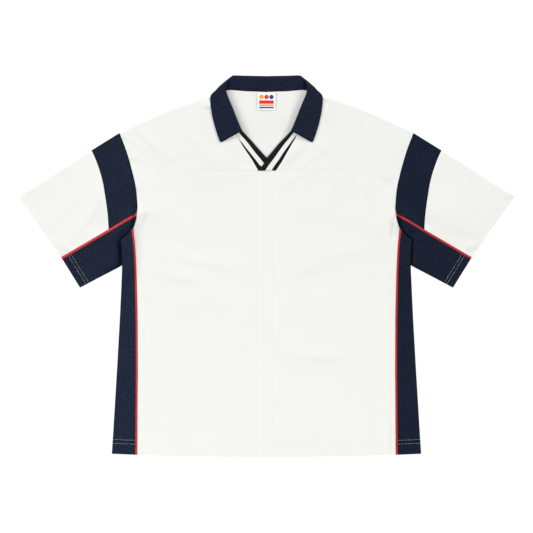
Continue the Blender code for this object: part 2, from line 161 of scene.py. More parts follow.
# Outlines: rows of (out, up).
HEM_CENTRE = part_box("back_panel")[0].y / MM
HEM_RISE = 6.4
YOKE_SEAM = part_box("front_strip")[1].y / MM + 0.15
BACK_NECK = [(0, 349.0), (43, 350.5), (72, 353.0), (83, 351.4), (88, 345.5), (93, 341.5)]
SHOULDER = [
    (93, 341.5), (100, 337.6), (109, 336.2), (113.5, 338.8), (124, 337.2), (172, 320.7), (224, 300.4),
    (294, 267.2),
]
ARMHOLE = [
    (294, 267.2), (283.2, 240), (277.2, 222), (272.0, 204), (268.6, 191.6), (263.4, 170), (260.1, 150),
    (257.6, 120), (258.3, 108), (259.7, 96), (262.7, 85), (265.8, 77),
]
AT_YOKE_SEAM = 4
AT_SLEEVE_SEAM = 8
BAND_EDGE = [
    (350, 232.4), (342.6, 216), (333.8, 192), (327.3, 168), (323.3, 144), (319.6, 120), (317.1, 96),
    (315.8, 74.4),
]
CUFF_TOP = (496, 140)
CUFF_SEAM = (411, 18.7)
CUFF_SEAM_LOW = (408.3, 14.5)
CUFF_LOW = (373, -42.3)
CUFF = np.array([CUFF_LOW, CUFF_SEAM_LOW, CUFF_SEAM, CUFF_TOP], float)
ARMHOLE_SEAM_LOW = (259.05, 101.7)
SLEEVE_FOLD = [(279, 7.3), (307.9, -8), (373, -42.3)]
SLEEVE_TUCK = [(270, 73.2), (274.6, 67.8), (279.3, 60), (280.4, 45), (280, 25), (279, 7.3)]
SIDE_EDGE = [
    (265.8, 77), (264.7, 64), (262.6, 46), (261.1, 22), (259.9, -5), (259.7, -10), (259.5, -15), (259.2, -21),
    (258.7, -44), (257.4, -100), (257.0, -200), (258.1, -376.5),
]
SIDE_FOLD = [
    (291, 53), (289.3, 44), (288.5, 33), (288.4, 16), (288.5, -5), (288.7, -10), (288.9, -15), (289.3, -21),
    (290.6, -44), (293.2, -100), (298.5, -195), (309.3, -374.6),
]
SIDE_TOP = [(270.2, 73), (275.5, 66.5), (282, 60), (291, 53)]
PANEL_EDGE = [
    (-60, 290), (-5, 288.5), (16, 288.4), (44, 289.3), (53, 291), (60, 282), (66.5, 275.5), (73, 270.2),
    (90, 262), (104, 258),
]
NECKLINE = [(64.5, 270), (71, 287), (78, 305), (84.5, 321), (89, 332), (93, 341.5)]
ARMPIT = {
    side: [(side * out, up) for out, up in
           ((257.6, 119), (258.3, 108), (259.7, 96), (262.7, 85), (266, 77), (267.5, 74))]
    for side in (-1, 1)
}

# A trim of the V neck, a row for each height: up, and how far out the inner edge, the end of the inner black
# stripe, the end of the white stripe and the outer edge lie. The right trim lies over the left one.
TRIM = {
    "left": [
        (272.0, 49.3, 58.9, 62.9, 63.0),
        (264.0, 41.9, 51.9, 60.8, 60.9),
        (256.0, 34.5, 45.0, 56.0, 56.3),
        (248.0, 27.0, 38.0, 49.1, 51.6),
        (240.0, 20.2, 31.8, 43.0, 46.9),
        (228.0, 9.5, 22.7, 33.4, 39.0),
        (216.0, -0.9, 12.8, 23.8, 30.7),
        (210.0, -2.0, 7.9, 19.2, 27.1),
        (204.0, 2.8, 3.1, 14.6, 23.6),
        (199.4, 6.4, 6.6, 10.4, 20.8),
        (191.8, 12.0, 12.2, 12.4, 16.4),
    ],
    "right": [
        (272.0, 49.4, 58.5, 62.9, 63.0),
        (264.0, 42.2, 51.0, 60.2, 61.0),
        (256.0, 34.5, 45.1, 54.3, 57.6),
        (248.0, 26.7, 38.0, 48.4, 52.7),
        (240.0, 19.8, 31.9, 42.6, 48.0),
        (228.0, 9.9, 23.3, 33.9, 41.2),
        (216.6, 0.6, 15.2, 26.8, 34.7),
        (207.0, -4.4, 7.8, 19.8, 29.1),
        (199.6, -10.0, 2.6, 14.7, 24.1),
        (191.8, -16.1, -2.6, 9.8, 18.6),
    ],
}

# The collar, a row for each section from the front end to the centre of the back: the neck seam, the
# inner roll, the outer fold (or free edge) and the edge that is turned under, each as (out, up); the
# heights of the stand and of the roll's top; how far the fall has turned under, 0 to 1; how far up the
# stand's end is set.
Section = namedtuple("Section", "seam roll fold edge stand top turned tuck")
COLLAR = [
    Section((63.6, 271), (48.9, 271), (92.6, 246.6), None, 2.6, 8.2, 0, 4.0),
    Section((70.2, 287), (56.2, 288), (103.2, 279), None, 2.6, 8.6, 0, 0),
    Section((77.2, 305), (62.6, 304), (109.0, 303), None, 3.7, 9.5, 0, 0),
    Section((83.7, 321), (68.9, 320), (111.7, 321), None, 4.3, 9.9, 0, 0),
    Section((88.2, 332), (75.5, 336), (112.6, 333), None, 4.3, 9.9, 0, 0),
    Section((90.4, 337.5), (77.8, 341.5), (112.4, 338), None, 4.3, 9.9, 0, 0),
    Section((91.6, 341), (79.6, 347), (111.0, 342.8), None, 4.3, 9.9, 0.5, 0),
    Section((83.4, 354.2), (80.8, 353), (108.0, 346.6), (107.0, 339.6), 4.3, 9.9, 1, 0),
    Section((83.4, 354.2), (80.4, 358), (102.4, 351.6), (106.0, 333), 4.3, 9.6, 1, 0),
    Section((83.4, 354.2), (78.2, 365), (92.6, 361.2), (102, 320), 3.8, 7.4, 1, 0),
    Section((72.5, 353.9), (73.0, 376.2), None, (78, 313), 2.3, 5.3, 1, 0),
    Section((66, 353.4), (65.5, 379.7), None, (66, 313), 2.3, 5.3, 1, 0),
    Section((43, 351.4), (43, 379.2), None, (43, 313), 2.3, 5.3, 1, 0),
    Section((0, 349.9), (0, 378.5), None, (0, 313), 2.3, 5.3, 1, 0),
]
COLLAR_STEPS = 6
COLLAR_STEPS_ACROSS = 3
AT_ROLL = 3
LAST_FRONT = 6
FIRST_BACK = 10
STAND_END = [(83.4, 354.2, 2.4), (79.2, 359.5, 2.6), (73.6, 369.5, 3.2)]


# Lines and grids in plan. A grid is an array of rows of points.


def smoothed(points, steps=4):
    """The points, or the rows of points, with a Catmull-Rom curve between them."""
    points = np.array(points, float)
    ends = np.concatenate([2 * points[:1] - points[1:2], points, 2 * points[-1:] - points[-2:-1]])
    shares = (np.arange(1, steps + 1) / steps).reshape([-1] + [1] * (points.ndim - 1))
    result = [points[:1]]
    for a, b, c, d in zip(ends, ends[1:], ends[2:], ends[3:]):
        bend = (c - a) * shares + (a * 2 - b * 5 + c * 4 - d) * shares**2
        bend = bend + (b * 3 - a - c * 3 + d) * shares**3
        result.append(b + bend / 2)
    return np.concatenate(result)


def reached(points):
    """The length along the line at which each point lies."""
    steps = np.linalg.norm(np.diff(np.array(points, float), axis=0), axis=-1)
    return np.concatenate([[0.0], np.cumsum(steps)])


def fractions(points):
    return reached(points) / reached(points)[-1]


def even(count):
    """The count of shares from 0 to 1, evenly spaced."""
    return np.linspace(0, 1, count)


def curve(points, shares=None):
    """A function that gives the points at shares, 0 to 1, of the line through the points."""
    points = np.array(points, float)
    knots = fractions(points) if shares is None else np.array(shares)
    return lambda at: np.stack([np.interp(at, knots, values) for values in points.T], axis=-1)


def spread(length, step=STEP, start=FINE, end=FINE):
    """Shares of a rough length, about a step apart and closer together near a seam at either end."""
    low, high = max(start, default=0.0), length - max(end, default=0.0)
    middle = np.linspace(low, high, max(2, round((high - low) / step) + 1))
    marks = np.concatenate([[0.0], start, middle, length - np.array(end), [length]])
    return np.unique(np.round(marks, 4)) / length


def merged(*lists, clear=CLOSE):
    """All the shares in order, without those that lie very close to the one before or to the end."""
    kept = [0.0]
    for value in np.sort(np.concatenate(lists)):
        if kept[-1] + CLOSE < value < 1 - clear:
            kept.append(value)
    return np.array(kept + [1.0])


def hem(out):
    """How far up the hem lies: it dips a little towards the centre."""
    return HEM_CENTRE + HEM_RISE * (np.array(out, float) / SIDE_FOLD[-1][0]) ** 2


def hem_line(inner, outer):
    outs = np.linspace(inner, outer, HEM_STEPS + 1)
    return np.stack([outs, hem(outs)], axis=-1)


def along(points, distance):
    """The points moved outwards by the distance."""
    return np.array(points, float) + [distance, 0.0]


def patch(bottom, top, inner, outer, across, up):
    """Plan points between four borders, each a curve or a list of points: a row for each share in up, and in
    it a point for each share in across.
    """
    bottom, top, inner, outer = (b if callable(b) else curve(b) for b in (bottom, top, inner, outer))
    u, v = np.array(across)[None, :, None], np.array(up)[:, None, None]
    corners = [bottom(0.0), bottom(1.0), top(0.0), top(1.0)]
    ruled = (1 - v) * bottom(across)[None] + v * top(across)[None]
    ruled = ruled + (1 - u) * inner(up)[:, None] + u * outer(up)[:, None]
    low = (1 - u) * corners[0] + u * corners[1]
    high = (1 - u) * corners[2] + u * corners[3]
    return ruled - (1 - v) * low - v * high


def drawn_in(border, neighbours, distance):
    """The border's points moved along the grid, until the border lies the distance further in."""
    run = np.gradient(border, axis=0)
    run /= np.linalg.norm(run, axis=-1, keepdims=True)
    way = neighbours - border
    way /= np.linalg.norm(way, axis=-1, keepdims=True)
    slant = np.abs(way[:, 0] * run[:, 1] - way[:, 1] * run[:, 0])[:, None]
    return border + way * np.array(distance).reshape(-1, 1) / slant


def trimmed(rows, bottom=0.0, top=0.0, inner=0.0, outer=0.0):
    """The plan rows with each border drawn in by its distance."""
    rows = rows.copy()
    rows[0] = drawn_in(rows[0], rows[1], bottom)
    rows[-1] = drawn_in(rows[-1], rows[-2], top)
    rows[:, 0] = drawn_in(rows[:, 0], rows[:, 1], inner)
    rows[:, -1] = drawn_in(rows[:, -1], rows[:, -2], outer)
    return rows


# Creases: how much wider each is on its gentle side, and how it fades towards its ends.

GENTLE = 2.6
END_SHARE, END_POWER = 0.08, 1.2


def ease(share):
    share = np.clip(share, 0.0, 1.0)
    return share * share * (3 - 2 * share)


def from_line(x, y, points):
    """For each place: how far it lies from a line, how far up from it, and at which share of the line."""
    nearest, rise, share = np.full(np.shape(x), 1e9), np.zeros(np.shape(x)), np.zeros(np.shape(x))
    marks = fractions(points)
    for k, (start, end) in enumerate(zip(points, points[1:])):
        run = end - start
        along_it = np.clip(((x - start[0]) * run[0] + (y - start[1]) * run[1]) / (run @ run), 0.0, 1.0)
        over = y - start[1] - along_it * run[1]
        away = np.hypot(x - start[0] - along_it * run[0], over)
        share = np.where(away < nearest, marks[k] + along_it * (marks[k + 1] - marks[k]), share)
        rise = np.where(away < nearest, over, rise)
        nearest = np.minimum(nearest, away)
    return nearest, rise, share


def creased(x, y, creases):
    """The height that soft ridges and troughs add. Each fades out towards both of its ends, and falls off
    over its width on the side towards the hem of a ridge or the collar of a trough, and slower on the other.
    """
    total = np.zeros(np.shape(x))
    for height, width, line in creases:
        away, rise, share = from_line(x, y, smoothed(line))
        gentle = ease(0.5 + np.sign(height) * rise / np.maximum(away, 1.0))
        width = width * (1 + (GENTLE - 1) * gentle)
        at_end = np.sin(np.pi * (END_SHARE + (1 - 2 * END_SHARE) * share)) ** END_POWER
        total += height * np.exp(-((away / width) ** 2)) * at_end
    return total


# Rows of (height, width, line): a ridge has a height above 0 and a trough one below, and the line's points
# are (x, up), with x below 0 on the left.
FRONT_CREASES = [
    # Left chest: the V crease, its neighbours, and the puckers that leave the armhole.
    (1.5, 5.5, [(-262, 274), (-236, 253), (-221, 239), (-209, 226), (-197, 212)]),
    (1.1, 5.5, [(-206, 210), (-194, 212), (-180, 221), (-160, 231), (-144, 236)]),
    (0.9, 6.0, [(-172, 264), (-158, 256), (-140, 250), (-126, 240)]),
    (0.9, 6.5, [(-140, 246), (-131, 232), (-119, 219), (-98, 206), (-84, 202)]),
    (0.5, 11.0, [(-150, 318), (-163, 292), (-178, 268)]),
    (1.0, 5.5, [(-310, 284), (-290, 266), (-270, 252), (-252, 240), (-240, 222)]),
    (-0.55, 4.2, [(-302, 266), (-286, 252), (-272, 241), (-262, 232)]),
    (-0.55, 4.0, [(-300, 246), (-282, 230), (-268, 217), (-260, 208)]),
    (0.7, 4.5, [(-292, 246), (-272, 233), (-256, 222)]),
    (-0.55, 4.0, [(-300, 222), (-274, 212), (-256, 206), (-236, 205)]),
    (0.9, 4.5, [(-290, 226), (-266, 218), (-246, 215)]),
    (-0.5, 3.0, [(-286, 196), (-268, 182), (-256, 172), (-251, 158)]),
    (0.8, 3.5, [(-276, 194), (-258, 182), (-246, 168)]),
    (0.6, 5.0, [(-280, 184), (-256, 168), (-240, 146), (-234, 124)]),
    (-0.5, 3.0, [(-276, 176), (-262, 156), (-253, 140), (-247, 124)]),
    (0.8, 3.5, [(-266, 168), (-250, 150), (-243, 130)]),
    (1.5, 6.0, [(-300, 132), (-266, 116), (-250, 109), (-236, 110), (-216, 117)]),
    (0.6, 7.0, [(-236, 108), (-212, 108), (-186, 100)]),
    (-0.9, 4.5, [(-290, 104), (-264, 98), (-249, 94), (-234, 98)]),
    (-1.0, 2.6, [(-221, 208), (-223, 196), (-222, 184), (-227, 172)]),
    (0.6, 3.5, [(-232, 196), (-230, 184), (-233, 172)]),
    (0.7, 6.0, [(-212, 192), (-194, 169), (-174, 146)]),
    (-0.5, 13.0, [(-190, 176), (-150, 150), (-112, 141), (-74, 141)]),
    (0.85, 15.0, [(-236, 104), (-196, 92), (-162, 64), (-146, 50)]),
    (-0.8, 8.0, [(-206, 62), (-178, 52), (-156, 38), (-130, 28)]),
    (0.4, 12.0, [(-130, 112), (-96, 84), (-60, 68), (-36, 62)]),
    (0.35, 10.0, [(-110, 66), (-78, 60), (-50, 58)]),
    # Left body: shallow wrinkles across it.
    (0.9, 7.5, [(-192, 28), (-160, 16), (-134, 9), (-100, 5)]),
    (0.8, 8.0, [(-118, 8), (-90, 3), (-66, -8), (-40, -14)]),
    (-0.5, 8.0, [(-176, 4), (-150, -6), (-122, -12), (-92, -14)]),
    (0.85, 7.0, [(-210, -14), (-172, -23), (-140, -25), (-100, -18)]),
    (-0.4, 8.0, [(-190, -40), (-150, -44), (-112, -42)]),
    (0.8, 7.5, [(-158, -46), (-122, -61), (-92, -60), (-58, -54)]),
    (0.45, 10.0, [(-232, -50), (-206, -56), (-180, -54)]),
    (0.75, 9.0, [(-206, -82), (-170, -78), (-138, -80)]),
    (0.7, 8.0, [(-124, -74), (-76, -79), (-36, -78)]),
    (0.8, 8.0, [(-94, -92), (-60, -106), (-30, -126)]),
    (0.6, 8.0, [(-236, -118), (-206, -122), (-176, -124)]),
    (0.3, 7.0, [(-58, -150), (-40, -156), (-20, -164)]),
    (0.25, 4.0, [(-94, -226), (-78, -219), (-60, -216)]),
    (0.3, 14.0, [(-200, -180), (-150, -196), (-90, -190)]),
    (-0.25, 16.0, [(-220, -260), (-160, -274), (-100, -262)]),
    (0.35, 4.5, [(-130, -349), (-106, -350), (-80, -352)]),
    # Right chest.
    (1.2, 6.0, [(80, 254), (62, 233), (44, 213), (30, 196)]),
    (-0.4, 6.0, [(86, 232), (72, 214), (58, 200)]),
    (1.1, 6.0, [(116, 242), (98, 222), (78, 206), (62, 196)]),
    (1.0, 5.0, [(92, 250), (106, 240), (118, 230), (126, 220)]),
    (1.0, 4.5, [(98, 196), (80, 187), (56, 175), (28, 156)]),
    (-1.0, 3.6, [(190, 318), (200, 303), (205, 284), (206, 268)]),
    (0.3, 5.0, [(160, 314), (176, 310), (190, 304)]),
    (-0.3, 4.0, [(212, 296), (236, 286), (262, 276)]),
    (1.4, 12.0, [(300, 290), (282, 262), (262, 240), (240, 224)]),
    (0.8, 8.0, [(236, 246), (252, 236), (272, 229), (294, 226)]),
    (0.8, 8.0, [(218, 214), (246, 213), (268, 211), (292, 208)]),
    (-0.45, 7.0, [(222, 190), (244, 186), (262, 190)]),
    (-1.1, 6.5, [(232, 172), (243, 162), (254, 154)]),
    (1.7, 5.5, [(226, 184), (241, 179), (258, 184)]),
    (-0.5, 4.0, [(250, 176), (254, 160), (256, 148)]),
    (-1.2, 2.4, [(230, 156), (231, 132), (233, 116), (238, 102)]),
    (0.9, 8.0, [(240, 100), (228, 78), (212, 66), (188, 76)]),
    (-1.4, 2.6, [(256, 150), (257, 120), (256, 92), (250, 60), (247, 30)]),
    (0.7, 14.0, [(46, 112), (92, 117), (134, 110)]),
    (0.8, 13.0, [(136, 108), (170, 88), (202, 80)]),
    (-0.35, 14.0, [(60, 78), (100, 82), (150, 66), (196, 46)]),
    # Right body.
    (1.2, 12.0, [(112, 16), (138, 29), (172, 33), (204, 36), (250, 34)]),
    (1.1, 10.5, [(28, -20), (66, -8), (96, 0), (124, 9), (146, 14)]),
    (-0.4, 12.0, [(50, -40), (96, -26), (140, -10), (190, 2)]),
    (1.0, 7.0, [(6, -146), (42, -172), (88, -181), (130, -182), (182, -186)]),
    (-0.35, 8.0, [(60, -200), (110, -206), (160, -208)]),
    (0.3, 9.0, [(182, -156), (206, -148), (232, -142)]),
    (0.4, 10.0, [(96, -96), (114, -86), (166, -86)]),
    (-0.9, 4.5, [(87, -244), (92, -246), (96, -247)]),
    (0.4, 8.0, [(106, -330), (132, -334), (164, -338)]),
    (0.35, 5.0, [(18, -330), (24, -340), (27, -360)]),
    (0.25, 9.0, [(30, -262), (56, -276), (86, -292), (104, -310)]),
    (0.3, 18.0, [(60, -120), (120, -132), (200, -120)]),
    # Beside the V, and at the collar's foot.
    (-0.9, 4.0, [(-56, 216), (-42, 208), (-28, 200), (-18, 194)]),
    (1.4, 4.0, [(-132, 330), (-124, 322), (-116, 321), (-104, 326)]),
    (-0.8, 3.5, [(-126, 316), (-118, 314), (-108, 318)]),
    (-0.9, 3.0, [(118, 330), (122, 326), (125, 322)]),
    # The seam allowances under the fronts, along the sides.
    (1.0, 1.6, [(-250, 100), (-247.5, -60), (-247, -200), (-247, -430)]),
    (1.0, 1.6, [(247, 60), (245, -60), (244.5, -200), (244, -430)]),
    (1.1, 1.8, [(244, -240), (244, -320), (243, -375), (242, -440)]),
    # The seams at the armpits, which stand up over the sleeves.
    (7.0, 7.0, ARMPIT[-1]),
    (5.0, 6.5, ARMPIT[1]),
]
BACK_CREASES = [
    (-0.35, 12.0, [(-60, 322), (-66, 296), (-54, 262), (-30, 236)]),
    (-0.35, 12.0, [(58, 324), (66, 300), (58, 268), (36, 240)]),
]
SLEEVE_CREASES = [
    # Left sleeve: the soft fold that runs down to the cuff, and what lies beside it.
    (1.7, 9.0, [(-328, 189), (-337, 149), (-348, 113), (-366, 83), (-394, 57), (-410, 43)]),
    (0.95, 8.5, [(-352, 152), (-386, 126), (-414, 100), (-444, 76)]),
    (-0.35, 14.0, [(-420, 150), (-446, 128), (-468, 120)]),
    (0.4, 4.5, [(-464, 96), (-450, 84), (-438, 72)]),
    (1.6, 4.5, [(-422, 52), (-411, 42), (-402, 24)]),
    (1.7, 20.0, [(-300, 140), (-324, 122), (-348, 104)]),
    (0.35, 10.0, [(-318, 200), (-330, 176), (-334, 150)]),
    # Right sleeve: the ridge above the piping and the small creases at the cuff.
    (2.9, 25.0, [(298, 136), (330, 118), (368, 100), (404, 82), (446, 64)]),
    (0.6, 8.0, [(366, 84), (390, 70), (414, 60)]),
    (0.5, 3.5, [(344, 128), (360, 116), (377, 94)]),
    (1.6, 5.0, [(470, 136), (484, 141), (500, 152)]),
    (0.8, 5.0, [(464, 118), (474, 118), (488, 126)]),
    (1.5, 4.5, [(396, 36), (408, 39), (424, 42)]),
    (-1.0, 3.5, [(318, 90), (323, 88), (328, 88)]),
    (0.3, 14.0, [(360, 180), (400, 160), (440, 150)]),
    # The under pieces.
    (7.0, 3.0, ARMPIT[-1]),
    (5.0, 3.0, ARMPIT[1]),
    (0.8, 12.0, [(-330, 60), (-356, 40), (-372, 10)]),
    (-0.5, 12.0, [(340, 52), (366, 24), (372, -6)]),
    (0.8, 9.0, [(372, 20), (386, 8), (392, -10)]),
    (-0.7, 5.0, [(-318, 192), (-315, 176), (-312, 160)]),
    (-0.8, 4.5, [(-315, 134), (-311, 118), (-307, 102)]),
    (0.7, 7.0, [(-302, 250), (-312, 236), (-330, 228)]),
    (-0.6, 6.0, [(300, 234), (312, 226), (324, 222)]),
]


# Heights, in world coordinates: x is negative on the left.


def outside(value, low, high):
    return np.maximum(np.maximum(low - value, value - high), 0.0)


def of_side(x, values):
    return np.where(x < 0, values[-1], values[1])


def lift(x, y):
    """How far the body is lifted by the collar's fall beneath it, and by the sleeve beneath its side."""
    from_fall = np.hypot(outside(x, -FALL_WIDTH, FALL_WIDTH), outside(y, FALL_LOW, FAR))
    below = np.maximum(TUCK_LOW - y, 0.0) * TUCK_SLOPE / TUCK_FALL
    from_tuck = np.hypot(outside(np.abs(x), TUCK_INNER, FAR), np.maximum(below, y - TUCK_HIGH))
    over_fall = FALL_LIFT * (1 - ease(from_fall / FALL_SLOPE))
    return over_fall + of_side(x, ARMPIT_LIFT) * (1 - ease(from_tuck / TUCK_SLOPE))


def over_hem(x, y):
    """How much thicker the turned hem makes the front."""
    return TURNED_CLOTH * (1 - ease((y - hem(x) - HEM_STITCHES[1]) / TURNED_STEP))


def over_cuff(x, y):
    """How much thicker the turned cuff makes the front of a sleeve."""
    return TURNED_CLOTH * (1 - ease((from_line(np.abs(x), y, CUFF)[0] - CUFF_STITCHES[1]) / TURNED_STEP))


def back_height(x, y):
    return BACK + lift(x, y) + creased(x, y, BACK_CREASES)


def front_height(x, y):
    return FRONT + lift(x, y) + creased(x, y, FRONT_CREASES) + over_hem(x, y)


def bulge(x, y):
    """How a sleeve swells beside the side panel that lies on it, before it dives beneath the panel."""
    ups, outs = zip(*PANEL_EDGE)
    wedge = ease((y - WEDGE_FROM) / WEDGE_OVER)
    narrowed = 1 - NARROWING * ease((y - NARROWS_FROM) / WEDGE_OVER) * (1 - wedge)
    away = (np.abs(x) - np.interp(y, ups, outs)) * narrowed - WEDGE_INWARDS * wedge
    over_fold = y - SLEEVE_FOLD[0][1] + FOLD_SLOPE * (np.abs(x) - SLEEVE_FOLD[0][0])
    over_piping = y - ARMHOLE_SEAM_LOW[1] + PIPING_SLOPE * (np.abs(x) - ARMHOLE_SEAM_LOW[0])
    flank = of_side(x, BULGE_FLANK) * (1 - wedge) + WEDGE_FLANK * wedge
    swell = ease((away - BULGE_START) / flank) * (1 - ease((away - flank) / BULGE_FALL))
    swell = swell * ease(over_fold / FOLD_FADE) * (1 - ease((over_piping - PIPING_FADE_FROM) / PIPING_FADE))
    return (of_side(x, BULGE) * (1 - wedge) + WEDGE * wedge) * swell


def sleeve_back_height(x, y):
    return BACK + 0.0 * x


def sleeve_front_height(x, y):
    return SLEEVE_FRONT + creased(x, y, SLEEVE_CREASES) + over_cuff(x, y) + bulge(x, y)


def lapped_height(x, y):
    """The front's height, and above it where the right trim laps the left one."""
    return front_height(x, y) + TRIM_LAP * (1 - ease((x - LAP_FROM) / LAP_OVER))


def raised(rows, side, height, **dips):
    """The plan rows at their height, and lower by each border's dip along it, where it is a seam."""
    z = height(side * rows[..., 0], rows[..., 1])
    borders = {"bottom": rows[:1], "top": rows[-1:], "inner": rows[:, :1], "outer": rows[:, -1:]}
    for name, dip in dips.items():
        away = np.linalg.norm(rows - borders[name], axis=-1)
        z = z - dip * np.exp(-((away / SEAM_WIDTH) ** 2))
    return np.concatenate([rows, z[..., None]], axis=-1)


def turn(upper, lower, before):
    """Rows of the half circle by which cloth turns from the upper row to the lower one."""
    run = np.gradient(upper, axis=0)
    away = np.stack([run[:, 1], -run[:, 0], np.zeros(len(run))], axis=-1)
    away /= np.linalg.norm(away, axis=-1, keepdims=True)
    away *= np.sign(np.sum(away * (upper - before), axis=-1, keepdims=True))
    radius = (upper[:, 2:] - lower[:, 2:]) / 2
    rise = radius * np.array([0.0, 0.0, 1.0])
    angles = np.pi * np.arange(1, TURN_STEPS) / TURN_STEPS
    return np.stack([(upper + lower) / 2 + away * radius * np.sin(a) + rise * np.cos(a) for a in angles])


def folded(upper, lower):
    """A sheet that turns from its front layer to its back layer at the last row of each."""
    return np.concatenate([upper, turn(upper[-1], lower[-1], upper[-2]), lower[::-1]])


# Meshes.


def placed(name, data):
    """A new object in the scene."""
    item = bpy.data.objects.new(name, data)
    bpy.context.scene.collection.objects.link(item)
    return item


def sheet_mesh(name, grids, side, slots=None, plan_uv=True):
    """A mesh of one face for each cell of the grids, joined where they meet, with a UV map in metres."""
    mesh = bpy.data.meshes.new(name)
    sheet = bmesh.new()
    uv = sheet.loops.layers.uv.new("UVMap")
    for grid in grids:
        grid = grid * [side, 1, 1] * MM
        flat = grid[..., :2] if plan_uv else flat_uv(grid)
        lines = [[sheet.verts.new(p) for p in row] for row in grid]
        for i in range(len(grid) - 1):
            for k in range(grid.shape[1] - 1):
                ring = ((i, k), (i, k + 1), (i + 1, k + 1), (i + 1, k))
                face = sheet.faces.new([lines[a][b] for a, b in ring])
                face.smooth = True
                if slots is not None:
                    face.material_index = slots(k)
                for loop, (a, b) in zip(face.loops, ring):
                    loop[uv].uv = flat[a, b]
    bmesh.ops.remove_doubles(sheet, verts=sheet.verts, dist=0.002 * MM)
    for edge in sheet.edges:
        edge.smooth = not edge.is_boundary
    sheet.to_mesh(mesh)
    sheet.free()
    return mesh


def flat_uv(grid):
    """The lengths along the rows and along the middle column, which lay a bent sheet out flat."""
    steps = np.linalg.norm(np.diff(grid, axis=1), axis=-1)
    across = np.concatenate([np.zeros((len(grid), 1)), np.cumsum(steps, axis=1)], axis=1)
    down = reached(grid[:, grid.shape[1] // 2])[:, None] + np.zeros(grid.shape[:2])
    return np.stack([across, down], axis=-1)


def flat_area(grids):
    """The area of the grids, in square metres."""
    total = 0.0
    for grid in grids:
        a, b, c, d = grid[:-1, :-1], grid[:-1, 1:], grid[1:, 1:], grid[1:, :-1]
        total += np.linalg.norm(np.cross(c - a, d - b), axis=-1).sum() / 2
    return total * MM * MM


def piece(name, grids, side, thickness, materials, slot, mirrored=False, **mesh_options):
    """A thin shell over the grids, which stands for the CAD node of its name."""
    mesh = sheet_mesh(name + "_cloth", grids, side, **mesh_options)
    for material in materials:
        mesh.materials.append(material)
    shell = placed(name + "_cloth", mesh)
    if mirrored:
        mirror = shell.modifiers.new("Mirror", "MIRROR")
        mirror.merge_threshold = 0.00005
    wall = shell.modifiers.new("Wall", "SOLIDIFY")
    wall.thickness = thickness * MM
    wall.offset = 0.0
    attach(shell, "root")
    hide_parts(name)
    return shell


# Materials.

YARN_SCALE = 2600.0
RIB_TINT = "aab4cc"


def linear(colour):
    """The linear RGBA of an sRGB colour written as six hex digits."""
    values = [int(colour[i : i + 2], 16) / 255 for i in (0, 2, 4)]
    return [v / 12.92 if v <= 0.04045 else ((v + 0.055) / 1.055) ** 2.4 for v in values] + [1.0]


class Nodes:
    """A material's node tree, with the few steps that every cloth here takes."""

    def __init__(self, name, roughness):
        self.material = bpy.data.materials.new(name)
        self.material.use_nodes = True
        self.tree = self.material.node_tree
        self.shader = self.tree.nodes["Principled BSDF"]
        self.shader.inputs["Roughness"].default_value = roughness

    def add(self, kind, inputs=(), **settings):
        node = self.tree.nodes.new(kind)
        for key, value in settings.items():
            setattr(node, key, value)
        for key, value in dict(inputs).items():
            if isinstance(value, bpy.types.NodeSocket):
                self.tree.links.new(value, node.inputs[key])
            else:
                node.inputs[key].default_value = value
        return node

    def maths(self, operation, *values):
        return self.add("ShaderNodeMath", dict(enumerate(values)), operation=operation).outputs[0]

    def plan(self, turned=0.0):
        """The UV map, in metres, turned by an angle so that the weave follows the grain of the piece."""
        uv = self.add("ShaderNodeTexCoord").outputs["UV"]
        mapping = self.add("ShaderNodeMapping", {"Vector": uv, "Rotation": (0.0, 0.0, turned)})
        return mapping.outputs["Vector"]

    def noise(self, place, scale, detail=3.0):
        noise = self.add("ShaderNodeTexNoise", {"Vector": place, "Scale": scale, "Detail": detail})
        return noise.outputs["Fac"]

    def mottled(self, place, colour, patches):
        """The colour, a little lighter and darker in patches: (scale per metre, strength) for each size."""
        value = 1.0
        for scale, strength in patches:
            shade = self.maths("SUBTRACT", self.noise(place, scale), 0.5)
            value = self.maths("MULTIPLY_ADD", shade, strength, value)
        shaded = self.add("ShaderNodeHueSaturation", {"Color": linear(colour), "Value": value})
        self.tree.links.new(shaded.outputs["Color"], self.shader.inputs["Base Color"])

    def bumped(self, height, depth):
        bump = self.add("ShaderNodeBump", {"Height": height, "Distance": depth, "Strength": 1.0})
        self.tree.links.new(bump.outputs["Normal"], self.shader.inputs["Normal"])

    def knitted(self, place, knit, knit_share, yarn_share, depth_mm, sheen, tint):
        """The relief of a knit and its yarn, in their shares of the depth, under a nap with little shine."""
        yarn = self.maths("MULTIPLY", self.noise(place, YARN_SCALE, 2.0), yarn_share)
        self.bumped(self.maths("MULTIPLY_ADD", knit, knit_share, yarn), depth_mm * MM)
        self.shader.inputs["Sheen Weight"].default_value = sheen
        self.shader.inputs["Sheen Roughness"].default_value = 0.45
        self.shader.inputs["Sheen Tint"].default_value = linear(tint)
        self.shader.inputs["Specular IOR Level"].default_value = 0.1
        return self.material


def waves(nodes, place, along_mm, across_mm):
    """A product of two waves: rows of small knots of knitted pique, offset from row to row."""
    split = nodes.add("ShaderNodeSeparateXYZ", {"Vector": place})
    turns = [2 * math.pi / (size * MM) for size in (across_mm, along_mm)]
    one = nodes.maths("MULTIPLY", split.outputs["X"], turns[0])
    two = nodes.maths("MULTIPLY", split.outputs["Y"], turns[1])
    first = nodes.maths("SINE", nodes.maths("ADD", one, two))
    second = nodes.maths("SINE", nodes.maths("SUBTRACT", one, two))
    return nodes.maths("MULTIPLY", first, second)


